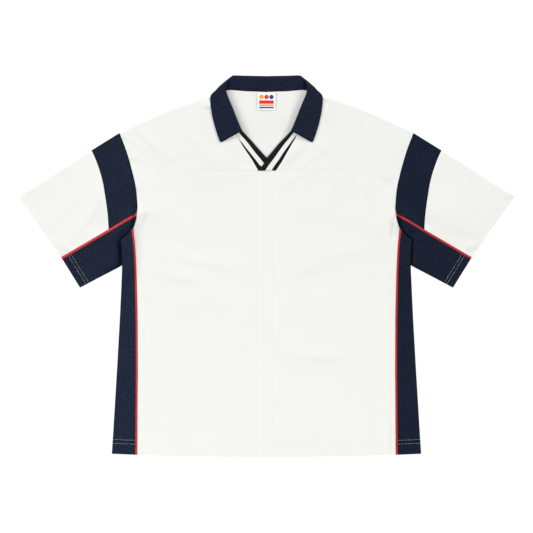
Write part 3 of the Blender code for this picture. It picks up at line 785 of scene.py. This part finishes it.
def pique(name, colour, patches, turned=0.0, sheen=0.0, tint="ffffff"):
    """Knitted pique: a fine raised diamond knit, with yarn noise and soft unevenness of the dye."""
    nodes = Nodes(name, roughness=0.92)
    place = nodes.plan(turned)
    nodes.mottled(place, colour, patches)
    knit = waves(nodes, place, along_mm=1.7, across_mm=1.5)
    return nodes.knitted(place, knit, 0.35, 0.9, 0.16, sheen, tint)


def ribbed(name, colour, pitch_mm, depth_mm, sheen=0.03, patches=((14.0, 0.06), (500.0, 0.14))):
    """Flat-knitted rib: fine ribs across the strip, with yarn noise."""
    nodes = Nodes(name, roughness=0.9)
    place = nodes.plan()
    nodes.mottled(place, colour, patches)
    split = nodes.add("ShaderNodeSeparateXYZ", {"Vector": place})
    rib = nodes.maths("SINE", nodes.maths("MULTIPLY", split.outputs["Y"], 2 * math.pi / (pitch_mm * MM)))
    return nodes.knitted(place, rib, 0.5, 0.8, depth_mm, sheen, RIB_TINT)


def plain(name, colour, roughness, grain_mm, depth_mm):
    """Plain piping, satin, ink or thread: one colour with a fine grain."""
    nodes = Nodes(name, roughness)
    place = nodes.plan()
    nodes.mottled(place, colour, [(30.0, 0.05), (900.0, 0.08)])
    nodes.bumped(waves(nodes, place, grain_mm, grain_mm), depth_mm * MM)
    nodes.shader.inputs["Specular IOR Level"].default_value = 0.3
    return nodes.material


# Stitches.

STITCH = 2.8
STITCH_SHARE = 1.9 / STITCH
THREAD = 0.42
THREAD_RISE = 0.4 * THREAD
THREAD_SIDES = 6
STITCH_FORM = np.array([(-0.5, 0.0), (-0.36, 0.8), (0.0, 1.0), (0.36, 0.8), (0.5, 0.0)])


def stitches(name, lines):
    """Rows of machine stitches, as one mesh of small capsules that lie half sunk along the lines."""
    n = THREAD_SIDES
    angles = np.arange(n) * 2 * math.pi / n
    points, faces = [], []
    for line in lines:
        count = int(reached(line)[-1] / STITCH)
        at = curve(line)
        for k in range(count):
            start, end = at((k + 0.5 - STITCH_SHARE / 2) / count), at((k + 0.5 + STITCH_SHARE / 2) / count)
            run = end - start
            beside = unit(np.cross([0.0, 0.0, 1.0], run)) * THREAD / 2
            above = np.array([0.0, 0.0, THREAD_RISE])
            tip = len(points)
            first, last = tip + 1, tip + 1 + 2 * n
            for share, size in STITCH_FORM:
                centre = (start + end) / 2 + run * share
                ring = [centre + (beside * math.cos(a) + above * math.sin(a)) * size for a in angles]
                points += ring if size else ring[:1]
            faces += [(tip, first + (j + 1) % n, first + j) for j in range(n)]
            for low in (first, first + n):
                faces += [(low + j, low + (j + 1) % n, low + n + (j + 1) % n, low + n + j) for j in range(n)]
            faces += [(last + n, last + j, last + (j + 1) % n) for j in range(n)]
    mesh = bpy.data.meshes.new(name)
    mesh.from_pydata((np.array(points) * MM).tolist(), [], faces)
    mesh.shade_smooth()
    uv = mesh.uv_layers.new(name="UVMap")
    for loop in mesh.loops:
        uv.data[loop.index].uv = mesh.vertices[loop.vertex_index].co.xy
    mesh.materials.append(thread)
    seam = placed(name, mesh)
    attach(seam, "root")
    return seam


def hem_stitches(name, spans):
    """The hem's twin stitching. A span: from which x to which, the cloth's height, and how far above it."""
    lines = []
    for start, end, height, above in spans:
        x = np.linspace(start, end, max(2, round(abs(end - start) / STEP)))
        for distance in HEM_STITCHES:
            y = hem(x) + distance
            lines.append(np.stack([x, y, height(x, y) + above], axis=-1))
    return stitches(name, lines)


def cuff_stitches(name, side, low, high):
    """A cuff's twin stitching on both layers, between two lines: a point at the cuff and one further in."""
    low, high = np.array(low, float), np.array(high, float)
    normal = unit(np.array([low[0, 1] - high[0, 1], high[0, 0] - low[0, 0]]))
    lines = []
    for distance in CUFF_STITCHES:
        ways = [unit(line[1] - line[0]) for line in (low, high)]
        start, end = [line[0] + way * distance / (way @ normal) for line, way in zip((low, high), ways)]
        inset = unit(end - start) * CUFF_STITCH_INSET
        plan = curve([start + inset, end - inset])(even(40))
        for height, above in ((sleeve_front_height, SHELL / 2), (sleeve_back_height, -SHELL / 2)):
            z = height(side * plan[:, 0], plan[:, 1]) + above
            lines.append(np.stack([side * plan[:, 0], plan[:, 1], z], axis=-1))
    return stitches(name, lines)


SLEEVE_GRAIN = math.radians(28)
WHITE = "eff0eb", [(9.0, 0.03), (420.0, 0.09)]
# The right-hand navy and red are the same cloth as the left-hand ones, painted darker: painted shade for the
# weaker light on the right.
NAVY_SLEEVE_SHADED_RIGHT = {-1: "1b2335", 1: "151d2e"}
NAVY_SIDE_SHADED_RIGHT = {-1: "1d2538", 1: "151d2e"}
RED_SHADED_RIGHT = {-1: "c73431", 1: "bb2727"}
NAVY_DYE = [(14.0, 0.2), (110.0, 0.65), (190.0, 0.95), (380.0, 1.4)]
COLLAR_DYE = [(14.0, 0.15), (110.0, 0.65), (190.0, 0.9), (380.0, 1.3)]
NAVY_NAP = {"sheen": 0.03, "tint": "9fb0d0"}
white = pique("white_pique", *WHITE)
white_sleeve, navy, navy_sleeve, red = {}, {}, {}, {}
for word, side in SIDES:
    grain = -side * SLEEVE_GRAIN
    white_sleeve[side] = pique("white_pique_" + word, *WHITE, turned=grain)
    navy[side] = pique("navy_side_" + word, NAVY_SIDE_SHADED_RIGHT[side], NAVY_DYE, **NAVY_NAP)
    navy_sleeve[side] = pique("navy_sleeve_" + word, NAVY_SLEEVE_SHADED_RIGHT[side], NAVY_DYE, turned=grain, **NAVY_NAP)
    red[side] = plain("red_piping_" + word, RED_SHADED_RIGHT[side], 0.75, 0.8, 0.06)
navy_rib = ribbed("navy_rib", "1a2133", 1.4, 0.22, patches=COLLAR_DYE)
black_rib = ribbed("black_rib", "1c1c20", 1.3, 0.2)
white_rib = ribbed("white_rib", "f3f3ef", 1.3, 0.2, sheen=0.0)
satin = plain("label_satin", "fbfbfa", 0.5, 0.5, 0.02)
# The thread's grey is partly its own off-white and partly painted shade, which stands in for the small
# shadows along the stitch lines.
thread = plain("white_thread_painted_shade", "dcdcda", 0.6, 0.3, 0.04)


# The pieces.

# How far in the back ends at the neck's corner and at the shoulder, and a neck trim's flat area.
BACK_NECK_END_IN, SHOULDER_IN = [1.5, 3.4], 2.2
TRIM_AREA = 0.0023


def slimmed(up, covered):
    """How far the cloth covers the piping beside it: not at all in the armpit, and fully from below it."""
    return covered * ease((SLIM_FROM - up) / SLIM_OVER)


def as_sheet(cloth, grid, stitching=(), area=None):
    """Works out the grid's area, in square metres, unless it is given; nothing more is done with it."""
    area = area or flat_area([grid])


def back_panel():
    """The whole back, from the hem to the neck seam. Its shoulder edges end where the yokes turn under."""
    outer_line = np.vstack([along(SIDE_EDGE[::-1], PIPING / 2)[:-1], SIDE_EDGE[:1], ARMHOLE[-2::-1]])
    top = BACK_NECK + SHOULDER[1:]
    across = merged(fractions(top), even(56))
    up = merged(fractions(outer_line), even(120), np.linspace(0.93, 1, 11), clear=0.006)
    rows = patch(hem_line(0, outer_line[0][0]), top, [(0, hem(0)), BACK_NECK[0]], outer_line, across, up)
    drawn = [HALF_GAP] * (len(BACK_NECK) - 2) + BACK_NECK_END_IN + [SHOULDER_IN] * (len(SHOULDER) - 1)
    rows = trimmed(rows, top=np.interp(across, fractions(top), drawn), outer=HALF_GAP)
    left = raised(rows[:, :0:-1], -1, back_height) * [-1, 1, 1]
    grid = np.concatenate([left, raised(rows, 1, back_height)], axis=1)
    back = piece("back_panel", [grid], 1, SHELL, [white], "white_pique")
    side = SIDE_EDGE[-1][0]
    hem_rows = hem_stitches("back_panel_stitches", [(-side, side, back_height, -SHELL / 2)])
    as_sheet(back, grid, [hem_rows])


def front_strip():
    """The narrow strip down the centre, from the chest seam to the hem."""
    half = STRIP / 2
    top = [(-half, YOKE_SEAM), (half, YOKE_SEAM)]
    sides = [[(out, float(hem(half))), (out, YOKE_SEAM)] for out in (-half, half)]
    up = spread(YOKE_SEAM - HEM_CENTRE, start=())
    rows = patch(hem_line(-half, half), top, *sides, spread(STRIP, FINE_STEP), up)
    rows = trimmed(rows, top=HALF_GAP, inner=STRIP_GAP, outer=STRIP_GAP)
    grid = raised(rows, 1, front_height, top=FLAT_DIP, inner=STRIP_DIP, outer=STRIP_DIP)
    strip = piece("front_strip", [grid], 1, SHELL, [white], "white_pique")
    end = half - HEM_STITCH_INSET
    hem_rows = hem_stitches("front_strip_stitches", [(-end, end, front_height, SHELL / 2)])
    as_sheet(strip, grid, [hem_rows])


def front(word, side):
    """A lower front, between the centre strip, the hem, the side piping, the armhole and the chest seam."""
    outer = np.vstack([SIDE_EDGE[::-1], smoothed(ARMHOLE[AT_YOKE_SEAM:])[-2::-1]])
    inner = [(STRIP / 2, float(hem(STRIP / 2))), (STRIP / 2, YOKE_SEAM)]
    across = spread(245, end=FINE + BESIDE_ALLOWANCE)
    up = merged(spread(580, start=()), fractions(outer))
    rows = patch(hem_line(inner[0][0], outer[0][0]), [inner[1], outer[-1]], inner, outer, across, up)
    over_piping = HALF_GAP - slimmed(rows[:, -1, 1], SIDE_SLIM[side][0])
    rows = trimmed(rows, top=HALF_GAP, inner=STRIP_GAP, outer=over_piping)
    grid = raised(rows, side, front_height, inner=STRIP_DIP, outer=ARMHOLE_DIP)
    cloth = piece("front_" + word, [grid], side, SHELL, [white], "white_pique")
    span = (side * STRIP / 2, side * SIDE_EDGE[-1][0], front_height, SHELL / 2)
    as_sheet(cloth, grid, [hem_stitches("front_stitches_" + word, [span])])


def yoke(word, side):
    """A yoke from the chest seam up, turned over the shoulder to meet the back."""
    outer_line = smoothed(ARMHOLE[: AT_YOKE_SEAM + 1])[::-1]
    edge = [(row[-1], row[0]) for row in TRIM[word][::-1] if row[0] < NECKLINE[0][1]]
    inner_line = np.vstack([smoothed(edge, 3), smoothed(NECKLINE)])
    up = merged(fractions(inner_line), spread(150, end=(FOLD_END, 6.5)), clear=0.027)
    across = merged(fractions(SHOULDER), spread(230))
    rows = patch([inner_line[0], outer_line[0]], SHOULDER, inner_line, outer_line, across, up)
    rows = trimmed(rows, bottom=HALF_GAP, top=BODY_FOLD, inner=HALF_GAP, outer=HALF_GAP)
    upper = raised(rows, side, front_height, bottom=SEAM_DIP, inner=TRIM_DIP, outer=ARMHOLE_DIP)
    grid = folded(upper, raised(rows[-1:], side, back_height))
    as_sheet(piece("yoke_" + word, [grid], side, SHELL, [white], "white_pique"), grid)


def side_panel(word, side):
    """A side, folded in two: its front half is seen, and its back half lies under it."""
    seam = along(SIDE_EDGE[1:], PIPING)
    top_corner = np.array(SIDE_TOP[0], float)
    front_seam = curve(np.vstack([[top_corner], seam]))
    back_seam = curve(np.vstack([[top_corner - [PIPING / 2, 0]], along(seam, -PIPING / 2)]))
    low_corner = (SIDE_FOLD[-1][0], float(hem(SIDE_FOLD[-1][0])))
    knots = fractions(np.vstack([[top_corner], seam]))
    fold = curve(SIDE_FOLD, knots)
    lengthwise, across = merged(knots, even(110)), spread(40, FINE_STEP, end=(5.0,))
    halves = []
    for line, height, dip in ((front_seam, front_height, SEAM_DIP), (back_seam, back_height, 0.0)):
        start = smoothed(np.vstack([[line(0.0)], SIDE_TOP[1:]]))
        rows = patch(line, fold, start, [line(1.0), low_corner], lengthwise, across)
        covered = SIDE_SLIM[side][1] if height is front_height else 0
        over_piping = HALF_GAP - slimmed(rows[0, :, 1], covered)
        rows = trimmed(rows, bottom=over_piping, top=BODY_FOLD, inner=HALF_GAP)
        halves.append(raised(rows, side, height, bottom=dip))
    grid = folded(*halves)
    cloth = piece("side_panel_" + word, [grid], side, SHELL, [navy[side]], "navy_pique")
    inner, outer = side * (SIDE_EDGE[-1][0] + PIPING), side * (SIDE_FOLD[-1][0] - FOLD_INSET)
    under = (side * SIDE_EDGE[-1][0], outer, back_height, -SHELL / 2)
    hem_rows = hem_stitches("side_panel_stitches_" + word, [(inner, outer, front_height, SHELL / 2), under])
    as_sheet(cloth, grid, [hem_rows])


def sleeve_piece(kind, word, side, rows, dips, material, slot, cuff=None):
    """A piece of a sleeve in a front and a back layer, stitched between the ends of its cuff."""
    outer = HALF_GAP if "outer" in dips else 0.0
    rows = trimmed(rows, HALF_GAP - SLEEVE_SLIM[side], SLEEVE_FOLD_IN, HALF_GAP, outer)
    grid = folded(raised(rows, side, sleeve_front_height, **dips), raised(rows, side, sleeve_back_height))
    stitching = [cuff_stitches("sleeve_" + kind + "_stitches_" + word, side, *cuff)] if cuff else []
    cloth = piece("sleeve_" + kind + "_" + word, [grid], side, SHELL, [material], slot)
    as_sheet(cloth, grid, stitching)


BAND_CURVE = smoothed(BAND_EDGE[::-1], 6)
BAND_ARMHOLE = smoothed(ARMHOLE[: AT_SLEEVE_SEAM + 1])[::-1]


def sleeve_band(word, side):
    """The band at the head of a sleeve, between the armhole and the outer piece, over the top fold."""
    up = merged(fractions(BAND_ARMHOLE), spread(170, end=(FOLD_END,)), clear=0.02)
    low, high = [BAND_ARMHOLE[0], BAND_CURVE[0]], [SHOULDER[-1], BAND_EDGE[0]]
    rows = patch(low, high, BAND_ARMHOLE, BAND_CURVE, spread(60, FINE_STEP), up)
    dips = {"bottom": SEAM_DIP, "inner": SEAM_DIP, "outer": BAND_DIP}
    sleeve_piece("band", word, side, rows, dips, navy_sleeve[side], "navy_pique")


def sleeve_outer(word, side):
    """The outer piece of a sleeve, from the piping over the top fold to the same line at the back."""
    up = merged(fractions(BAND_ARMHOLE), spread(165, end=(FOLD_END,)), clear=0.02)
    low, high, cuff = [BAND_CURVE[0], CUFF_SEAM], [BAND_EDGE[0], CUFF_TOP], [CUFF_SEAM, CUFF_TOP]
    rows = patch(low, high, BAND_CURVE, cuff, spread(130, end=()), up)
    dips = {"bottom": SEAM_DIP, "inner": BAND_DIP}
    ends = (CUFF_SEAM, ARMHOLE[AT_SLEEVE_SEAM]), (CUFF_TOP, BAND_EDGE[0])
    sleeve_piece("outer", word, side, rows, dips, white_sleeve[side], "white_pique", ends)


def sleeve_under(word, side):
    """The under piece of a sleeve, round its lower fold. Its inner end is tucked beneath the side panel."""
    inner = np.array([ARMHOLE_SEAM_LOW] + ARMHOLE[AT_SLEEVE_SEAM + 1 :] + SLEEVE_TUCK, float)
    up = merged(fractions(inner), even(32), clear=0.03)
    low, cuff = [ARMHOLE_SEAM_LOW, CUFF_SEAM_LOW], [CUFF_SEAM_LOW, CUFF_LOW]
    across = spread(140, start=(1.0, 3.0, 6.0), end=())
    rows = patch(low, SLEEVE_FOLD, inner, cuff, across, up)
    dips = {"bottom": SEAM_DIP}
    ends = (CUFF_LOW, SLEEVE_FOLD[1]), (CUFF_SEAM_LOW, ARMHOLE_SEAM_LOW)
    sleeve_piece("under", word, side, rows, dips, navy_sleeve[side], "navy_pique", ends)


def piping_piece(name, side, rows, height):
    """Piping over the plan rows, with a rounded crown across it."""
    grid = raised(rows, side, height)
    share = np.linspace(-1, 1, grid.shape[1])
    grid[..., 2] += PIPING_CROWN * (np.sqrt(1 - PIPING_ROUND * share**2) - 0.5)
    piece(name, [grid], side, PIPING_SHELL, [red[side]], "red_piping", plan_uv=False)


def sleeve_piping(word, side):
    """The piping between the two pieces of a sleeve, from the armhole to the cuff."""
    armhole, cuff = [ARMHOLE_SEAM_LOW, ARMHOLE[AT_SLEEVE_SEAM]], [CUFF_SEAM_LOW, CUFF_SEAM]
    rows = patch(armhole, cuff, *zip(armhole, cuff), even(PIPING_POINTS), even(44))
    gap = PIPING_GAP + SLEEVE_SLIM[side]
    piping_piece("sleeve_piping_" + word, side, trimmed(rows, inner=gap, outer=gap), sleeve_front_height)


def side_piping(word, side):
    """The piping between a front and a side panel, from the armhole to the hem."""
    outer = np.vstack([SIDE_TOP[:1], along(SIDE_EDGE[1:], PIPING)])
    up = merged(fractions(SIDE_EDGE), even(110))
    low, high = [SIDE_EDGE[0], outer[0]], [SIDE_EDGE[-1], outer[-1]]
    rows = patch(low, high, SIDE_EDGE, outer, even(PIPING_POINTS), up)
    gaps = [PIPING_GAP + slimmed(rows[:, 0, 1], covered) for covered in SIDE_SLIM[side]]
    rows = trimmed(rows, bottom=PIPING_GAP, inner=gaps[0], outer=gaps[1])
    piping_piece("side_piping_" + word, side, rows, front_height)


def neck_trim(word, side):
    """One rib band of the V neck, in three stripes, from under the collar's leaf to the chest seam."""
    levels = smoothed(np.array(TRIM[word], float)[::-1])
    outs = []
    for at, count in enumerate(STRIPE_CELLS, start=1):
        shares = np.arange(count) / count
        outs.append(levels[:, at, None] * (1 - shares) + levels[:, at + 1, None] * shares)
    outs = np.concatenate(outs + [levels[:, 4:5]], axis=1)
    rows = np.stack([outs, levels[:, :1] + 0 * outs], axis=-1)
    rows = trimmed(rows, bottom=HALF_GAP, outer=HALF_GAP)
    grid = raised(rows, side, lapped_height if side > 0 else front_height, bottom=TRIM_DIP, outer=TRIM_DIP)
    before, white_cells = STRIPE_CELLS[:2]
    trim = piece("neck_trim_" + word, [grid], side, SHELL, [black_rib, white_rib], "black_rib",
                 slots=lambda k: int(before <= k < before + white_cells), plan_uv=False)
    as_sheet(trim, grid, area=TRIM_AREA)


# The collar. The fall comes down in shares of the way from the roll to its edge, with so much of its height
# left at each. Where it starts to turn under, it steps in from the fold and down by millimetres. The stand's
# middle, at the back, lies at shares of its width and its rise.

FALL = ((0.55, 0.6), (0.72, 0.3), (0.86, 0.1), (0.95, 0.02), (1, 0))
TURNING = ((3.2, 0.0), (1.3, 0.6), (COLLAR_SHELL / 2, 1.7), (COLLAR_SHELL / 2, 2.8))
BACK_STAND = 0.45, 0.7
BACK_TURN = 6
FALL_CLEAR = 0.05
TIP_RADIUS = 5.0
WING = (0.0, 0.33, 0.67, 1.0)


def spatial(plan, height):
    return np.array([plan[0], plan[1], height], float)


def unit(vector):
    return vector / np.linalg.norm(vector)


def rolled_section(section):
    """Ten points across the front or the shoulder of the collar: the stand, the roll and the fall over it."""
    half = COLLAR_SHELL / 2
    seam, roll, fold = (np.array(p, float) for p in (section.seam, section.roll, section.fold))
    stand_roll = roll + [0, section.tuck]
    stand_way, fall_way = unit(seam - stand_roll), unit(fold - roll)
    radius = (section.top - section.stand) / 2
    rest = FRONT + float(lift(*fold)) + (SHELL + COLLAR_SHELL) / 2 + FALL_CLEAR
    points = [
        spatial(seam, section.stand),
        spatial((seam + stand_roll) / 2, section.stand),
        spatial(stand_roll + stand_way * (radius + half), section.stand),
        spatial(roll + (stand_way + fall_way) * (half / 2), section.stand + radius),
        spatial(roll + fall_way * (radius + half), section.top),
    ]
    fall = [spatial(roll + (fold - roll) * share, rest + (section.top - rest) * left) for share, left in FALL]
    if section.turned == 0:
        return points + fall
    points.append(fall[0])
    if section.turned < 1:
        return points + [spatial(fold - fall_way * inwards, rest - drop) for inwards, drop in TURNING]
    edge = np.array(section.edge, float)
    radius = (rest - COLLAR_FALL) / 2
    under_way = unit(edge - fold)
    return points + [
        spatial(fold - fall_way * (radius + half), rest),
        spatial(fold - fall_way * half, COLLAR_FALL + radius),
        spatial(fold + under_way * (radius + half), COLLAR_FALL),
        spatial(edge, COLLAR_FALL),
    ]


def back_section(section):
    """Ten points across the back of the collar: the stand, which shows, and the fall turned under it."""
    half = COLLAR_SHELL / 2
    seam, roll, edge = (np.array(p, float) for p in (section.seam, section.roll, section.edge))
    way = unit(seam - roll)
    radius = (section.top - COLLAR_FALL) / 2
    centre = roll + way * (radius + half)
    share, risen = BACK_STAND
    points = [
        spatial(seam, section.stand),
        spatial(seam + (roll - seam) * share, section.stand + (section.top - section.stand) * risen),
    ]
    for step in range(BACK_TURN + 1):
        angle = math.pi * step / BACK_TURN
        height = COLLAR_FALL + radius * (1 + math.cos(angle))
        points.append(spatial(centre - way * radius * math.sin(angle), height))
    return points + [spatial(edge, COLLAR_FALL)]


def round_tip(rows, radius):
    """Rounds the corner, in plan, where the front end of the fall meets its free edge."""
    tip = rows[0, -1, :2].copy()
    ways = np.array([unit(rows[0, -4, :2] - tip), unit(rows[4, -1, :2] - tip)])
    inner = radius - (rows[..., :2] - tip) @ np.linalg.inv(ways)
    near = (inner > 0).all(axis=-1)
    square = inner[near]
    disc_share = square.max(axis=-1) / np.linalg.norm(square, axis=-1)
    rows[near, :2] = tip + (radius - square * disc_share[:, None]) @ ways


def collar():
    """Stand, roll and fall in one. The fall lies on the fronts and, past the shoulders, under the back."""
    sections = np.array([rolled_section(s) if s.fold else back_section(s) for s in COLLAR])
    rows = smoothed(sections, COLLAR_STEPS)
    rows = np.swapaxes(smoothed(np.swapaxes(rows, 0, 1), COLLAR_STEPS_ACROSS), 0, 1).copy()
    rows[..., 2] = np.maximum(rows[..., 2], COLLAR_FALL)
    rows[-1, :, 0] = 0.0
    round_tip(rows, TIP_RADIUS)
    roll = AT_ROLL * COLLAR_STEPS_ACROSS
    front_end, back_start = LAST_FRONT * COLLAR_STEPS, FIRST_BACK * COLLAR_STEPS
    stand_end = smoothed(STAND_END + [rows[back_start, roll]], COLLAR_STEPS_ACROSS)[:roll]
    to_back = rows[back_start, :roll] - stand_end
    wing = np.stack([stand_end + to_back * share for share in WING])
    grids = [rows[: front_end + 1], rows[front_end : back_start + 1, roll:], rows[back_start:], wing]
    cloth = piece("collar", grids, 1, COLLAR_SHELL, [navy_rib], "navy_pique", mirrored=True, plan_uv=False)


# The label, with a plain design of its own: rows of (ink, out) and of (ink, up, depth).

LABEL_CORNER = 1.6
BAR_CORNER = 0.5
RIM_SHARE = 0.35
PRINT = 0.08
INKS = {"red": "ee2a24", "amber": "f2a52c", "blue": "0d459f"}
DISC_RADIUS, DISC_UP = 4.4, 8.4
DISCS = (("amber", -9.9), ("red", 0.0), ("blue", 9.9))
BAR_WIDTH = 29.2
BARS = (("red", -1.8, 7.0), ("amber", -8.2, 3.4), ("blue", -12.8, 3.0))


def rounded_rectangle(width, height, radius, steps=5):
    """Points round a rectangle with round corners, about its centre."""
    points = []
    for k, (x, y) in enumerate(((1, 1), (-1, 1), (-1, -1), (1, -1))):
        for step in range(steps + 1):
            angle = math.pi / 2 * (k + step / steps)
            points.append((x * (width / 2 - radius) + radius * math.cos(angle),
                           y * (height / 2 - radius) + radius * math.sin(angle)))
    return points


def disc(radius, steps=28):
    angles = [2 * math.pi * k / steps for k in range(steps)]
    return [(radius * math.cos(a), radius * math.sin(a)) for a in angles]


def flat_shape(name, outline, centre, low, high, material, node=None):
    """A flat tile of an outline, from one height to another, with a softened rim."""
    mesh = bpy.data.meshes.new(name)
    sheet = bmesh.new()
    uv = sheet.loops.layers.uv.new("UVMap")
    points = [((centre[0] + x) * MM, (centre[1] + y) * MM, low * MM) for x, y in outline]
    face = sheet.faces.new([sheet.verts.new(point) for point in points])
    solid = bmesh.ops.extrude_face_region(sheet, geom=[face])
    upper = [v for v in solid["geom"] if isinstance(v, bmesh.types.BMVert)]
    bmesh.ops.translate(sheet, verts=upper, vec=(0, 0, (high - low) * MM))
    bmesh.ops.recalc_face_normals(sheet, faces=sheet.faces)
    for each in sheet.faces:
        for loop in each.loops:
            loop[uv].uv = loop.vert.co.xy
    sheet.to_mesh(mesh)
    sheet.free()
    mesh.materials.append(material)
    tile = placed(name, mesh)
    rim = tile.modifiers.new("Rim", "BEVEL")
    rim.width = (high - low) * RIM_SHARE * MM
    rim.segments = 2
    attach(tile, "root")
    if node:
        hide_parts(node)
    return tile


def neck_label():
    """A white satin label inside the neck, printed with discs over bars."""
    low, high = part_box("neck_label")
    centre = ((low.x + high.x) / 2 / MM, (low.y + high.y) / 2 / MM)
    size = ((high.x - low.x) / MM, (high.y - low.y) / MM)
    top = high.z / MM
    outline = rounded_rectangle(*size, LABEL_CORNER)
    label = flat_shape("neck_label_satin", outline, centre, top - LABEL_SHELL, top, satin, "neck_label")
    inks = {word: plain("print_" + word, colour, 0.6, 0.5, 0.01) for word, colour in INKS.items()}
    marks = [("disc_", word, out, DISC_UP, disc(DISC_RADIUS)) for word, out in DISCS]
    for word, up, depth in BARS:
        marks.append(("bar_", word, 0.0, up, rounded_rectangle(BAR_WIDTH, depth, BAR_CORNER)))
    for kind, word, out, up, outline in marks:
        place = (centre[0] + out, centre[1] + up)
        flat_shape("label_" + kind + word, outline, place, top, top + PRINT, inks[word])


# Stage, lights and camera.

CAMERA_HEIGHT = 4.0
FRAME_WIDTH = 1.066
SENSOR = 36.0
FLOOR_REACH = 6.0


def floor():
    """A light table: it is lit from within, so that it stays even right up to the shirt."""
    nodes = Nodes("floor_paper", 0.95)
    place = nodes.add("ShaderNodeTexCoord").outputs["Object"]
    nodes.mottled(place, "595959", [(3.0, 0.01)])
    nodes.shader.inputs["Emission Color"].default_value = (1.0, 1.0, 1.0, 1.0)
    nodes.shader.inputs["Emission Strength"].default_value = 0.95
    mesh = bpy.data.meshes.new("floor")
    corners = [(x * FLOOR_REACH, y * FLOOR_REACH, 0) for x, y in ((-1, -1), (1, -1), (1, 1), (-1, 1))]
    mesh.from_pydata(corners, [], [(0, 1, 2, 3)])
    mesh.materials.append(nodes.material)
    ground = placed("floor", mesh)
    ground.location.z = CAD_LOW.z - 0.4 * MM


def light(name, kind, place, energy, **settings):
    """A light at a place in metres that faces the middle of the shirt."""
    data = bpy.data.lights.new(name, kind)
    data.energy = energy
    for key, value in settings.items():
        setattr(data, key, value)
    lamp = placed(name, data)
    lamp.location = place
    lamp.rotation_mode = "QUATERNION"
    lamp.rotation_quaternion = (-lamp.location).to_track_quat("-Z", "Y")


def lights():
    world = bpy.data.worlds.new("studio")
    world.use_nodes = True
    background = world.node_tree.nodes["Background"]
    background.inputs["Color"].default_value = (1.0, 1.0, 1.0, 1.0)
    background.inputs["Strength"].default_value = 0.357
    bpy.context.scene.world = world
    for word, side in SIDES:
        light("key_" + word, "SUN", (side * 4.6, 1.9, 2.0), 2.36, angle=math.radians(20))
    light("fill", "AREA", (-1.0, -1.2, 2.7), 20.0, size=1.5)


def camera():
    data = bpy.data.cameras.new("camera")
    data.sensor_width = SENSOR
    data.lens = SENSOR * CAMERA_HEIGHT / FRAME_WIDTH
    eye = placed("camera", data)
    eye.location = (0.0, 0.0, CAMERA_HEIGHT + FRONT * MM)
    bpy.context.scene.camera = eye


def main():
    bpy.context.scene.view_settings.view_transform = "Standard"
    floor()
    lights()
    camera()
    back_panel()
    front_strip()
    neck_label()
    collar()
    for word, side in SIDES:
        front(word, side)
        yoke(word, side)
        side_panel(word, side)
        side_piping(word, side)
        sleeve_band(word, side)
        sleeve_outer(word, side)
        sleeve_under(word, side)
        sleeve_piping(word, side)
        neck_trim(word, side)


main()
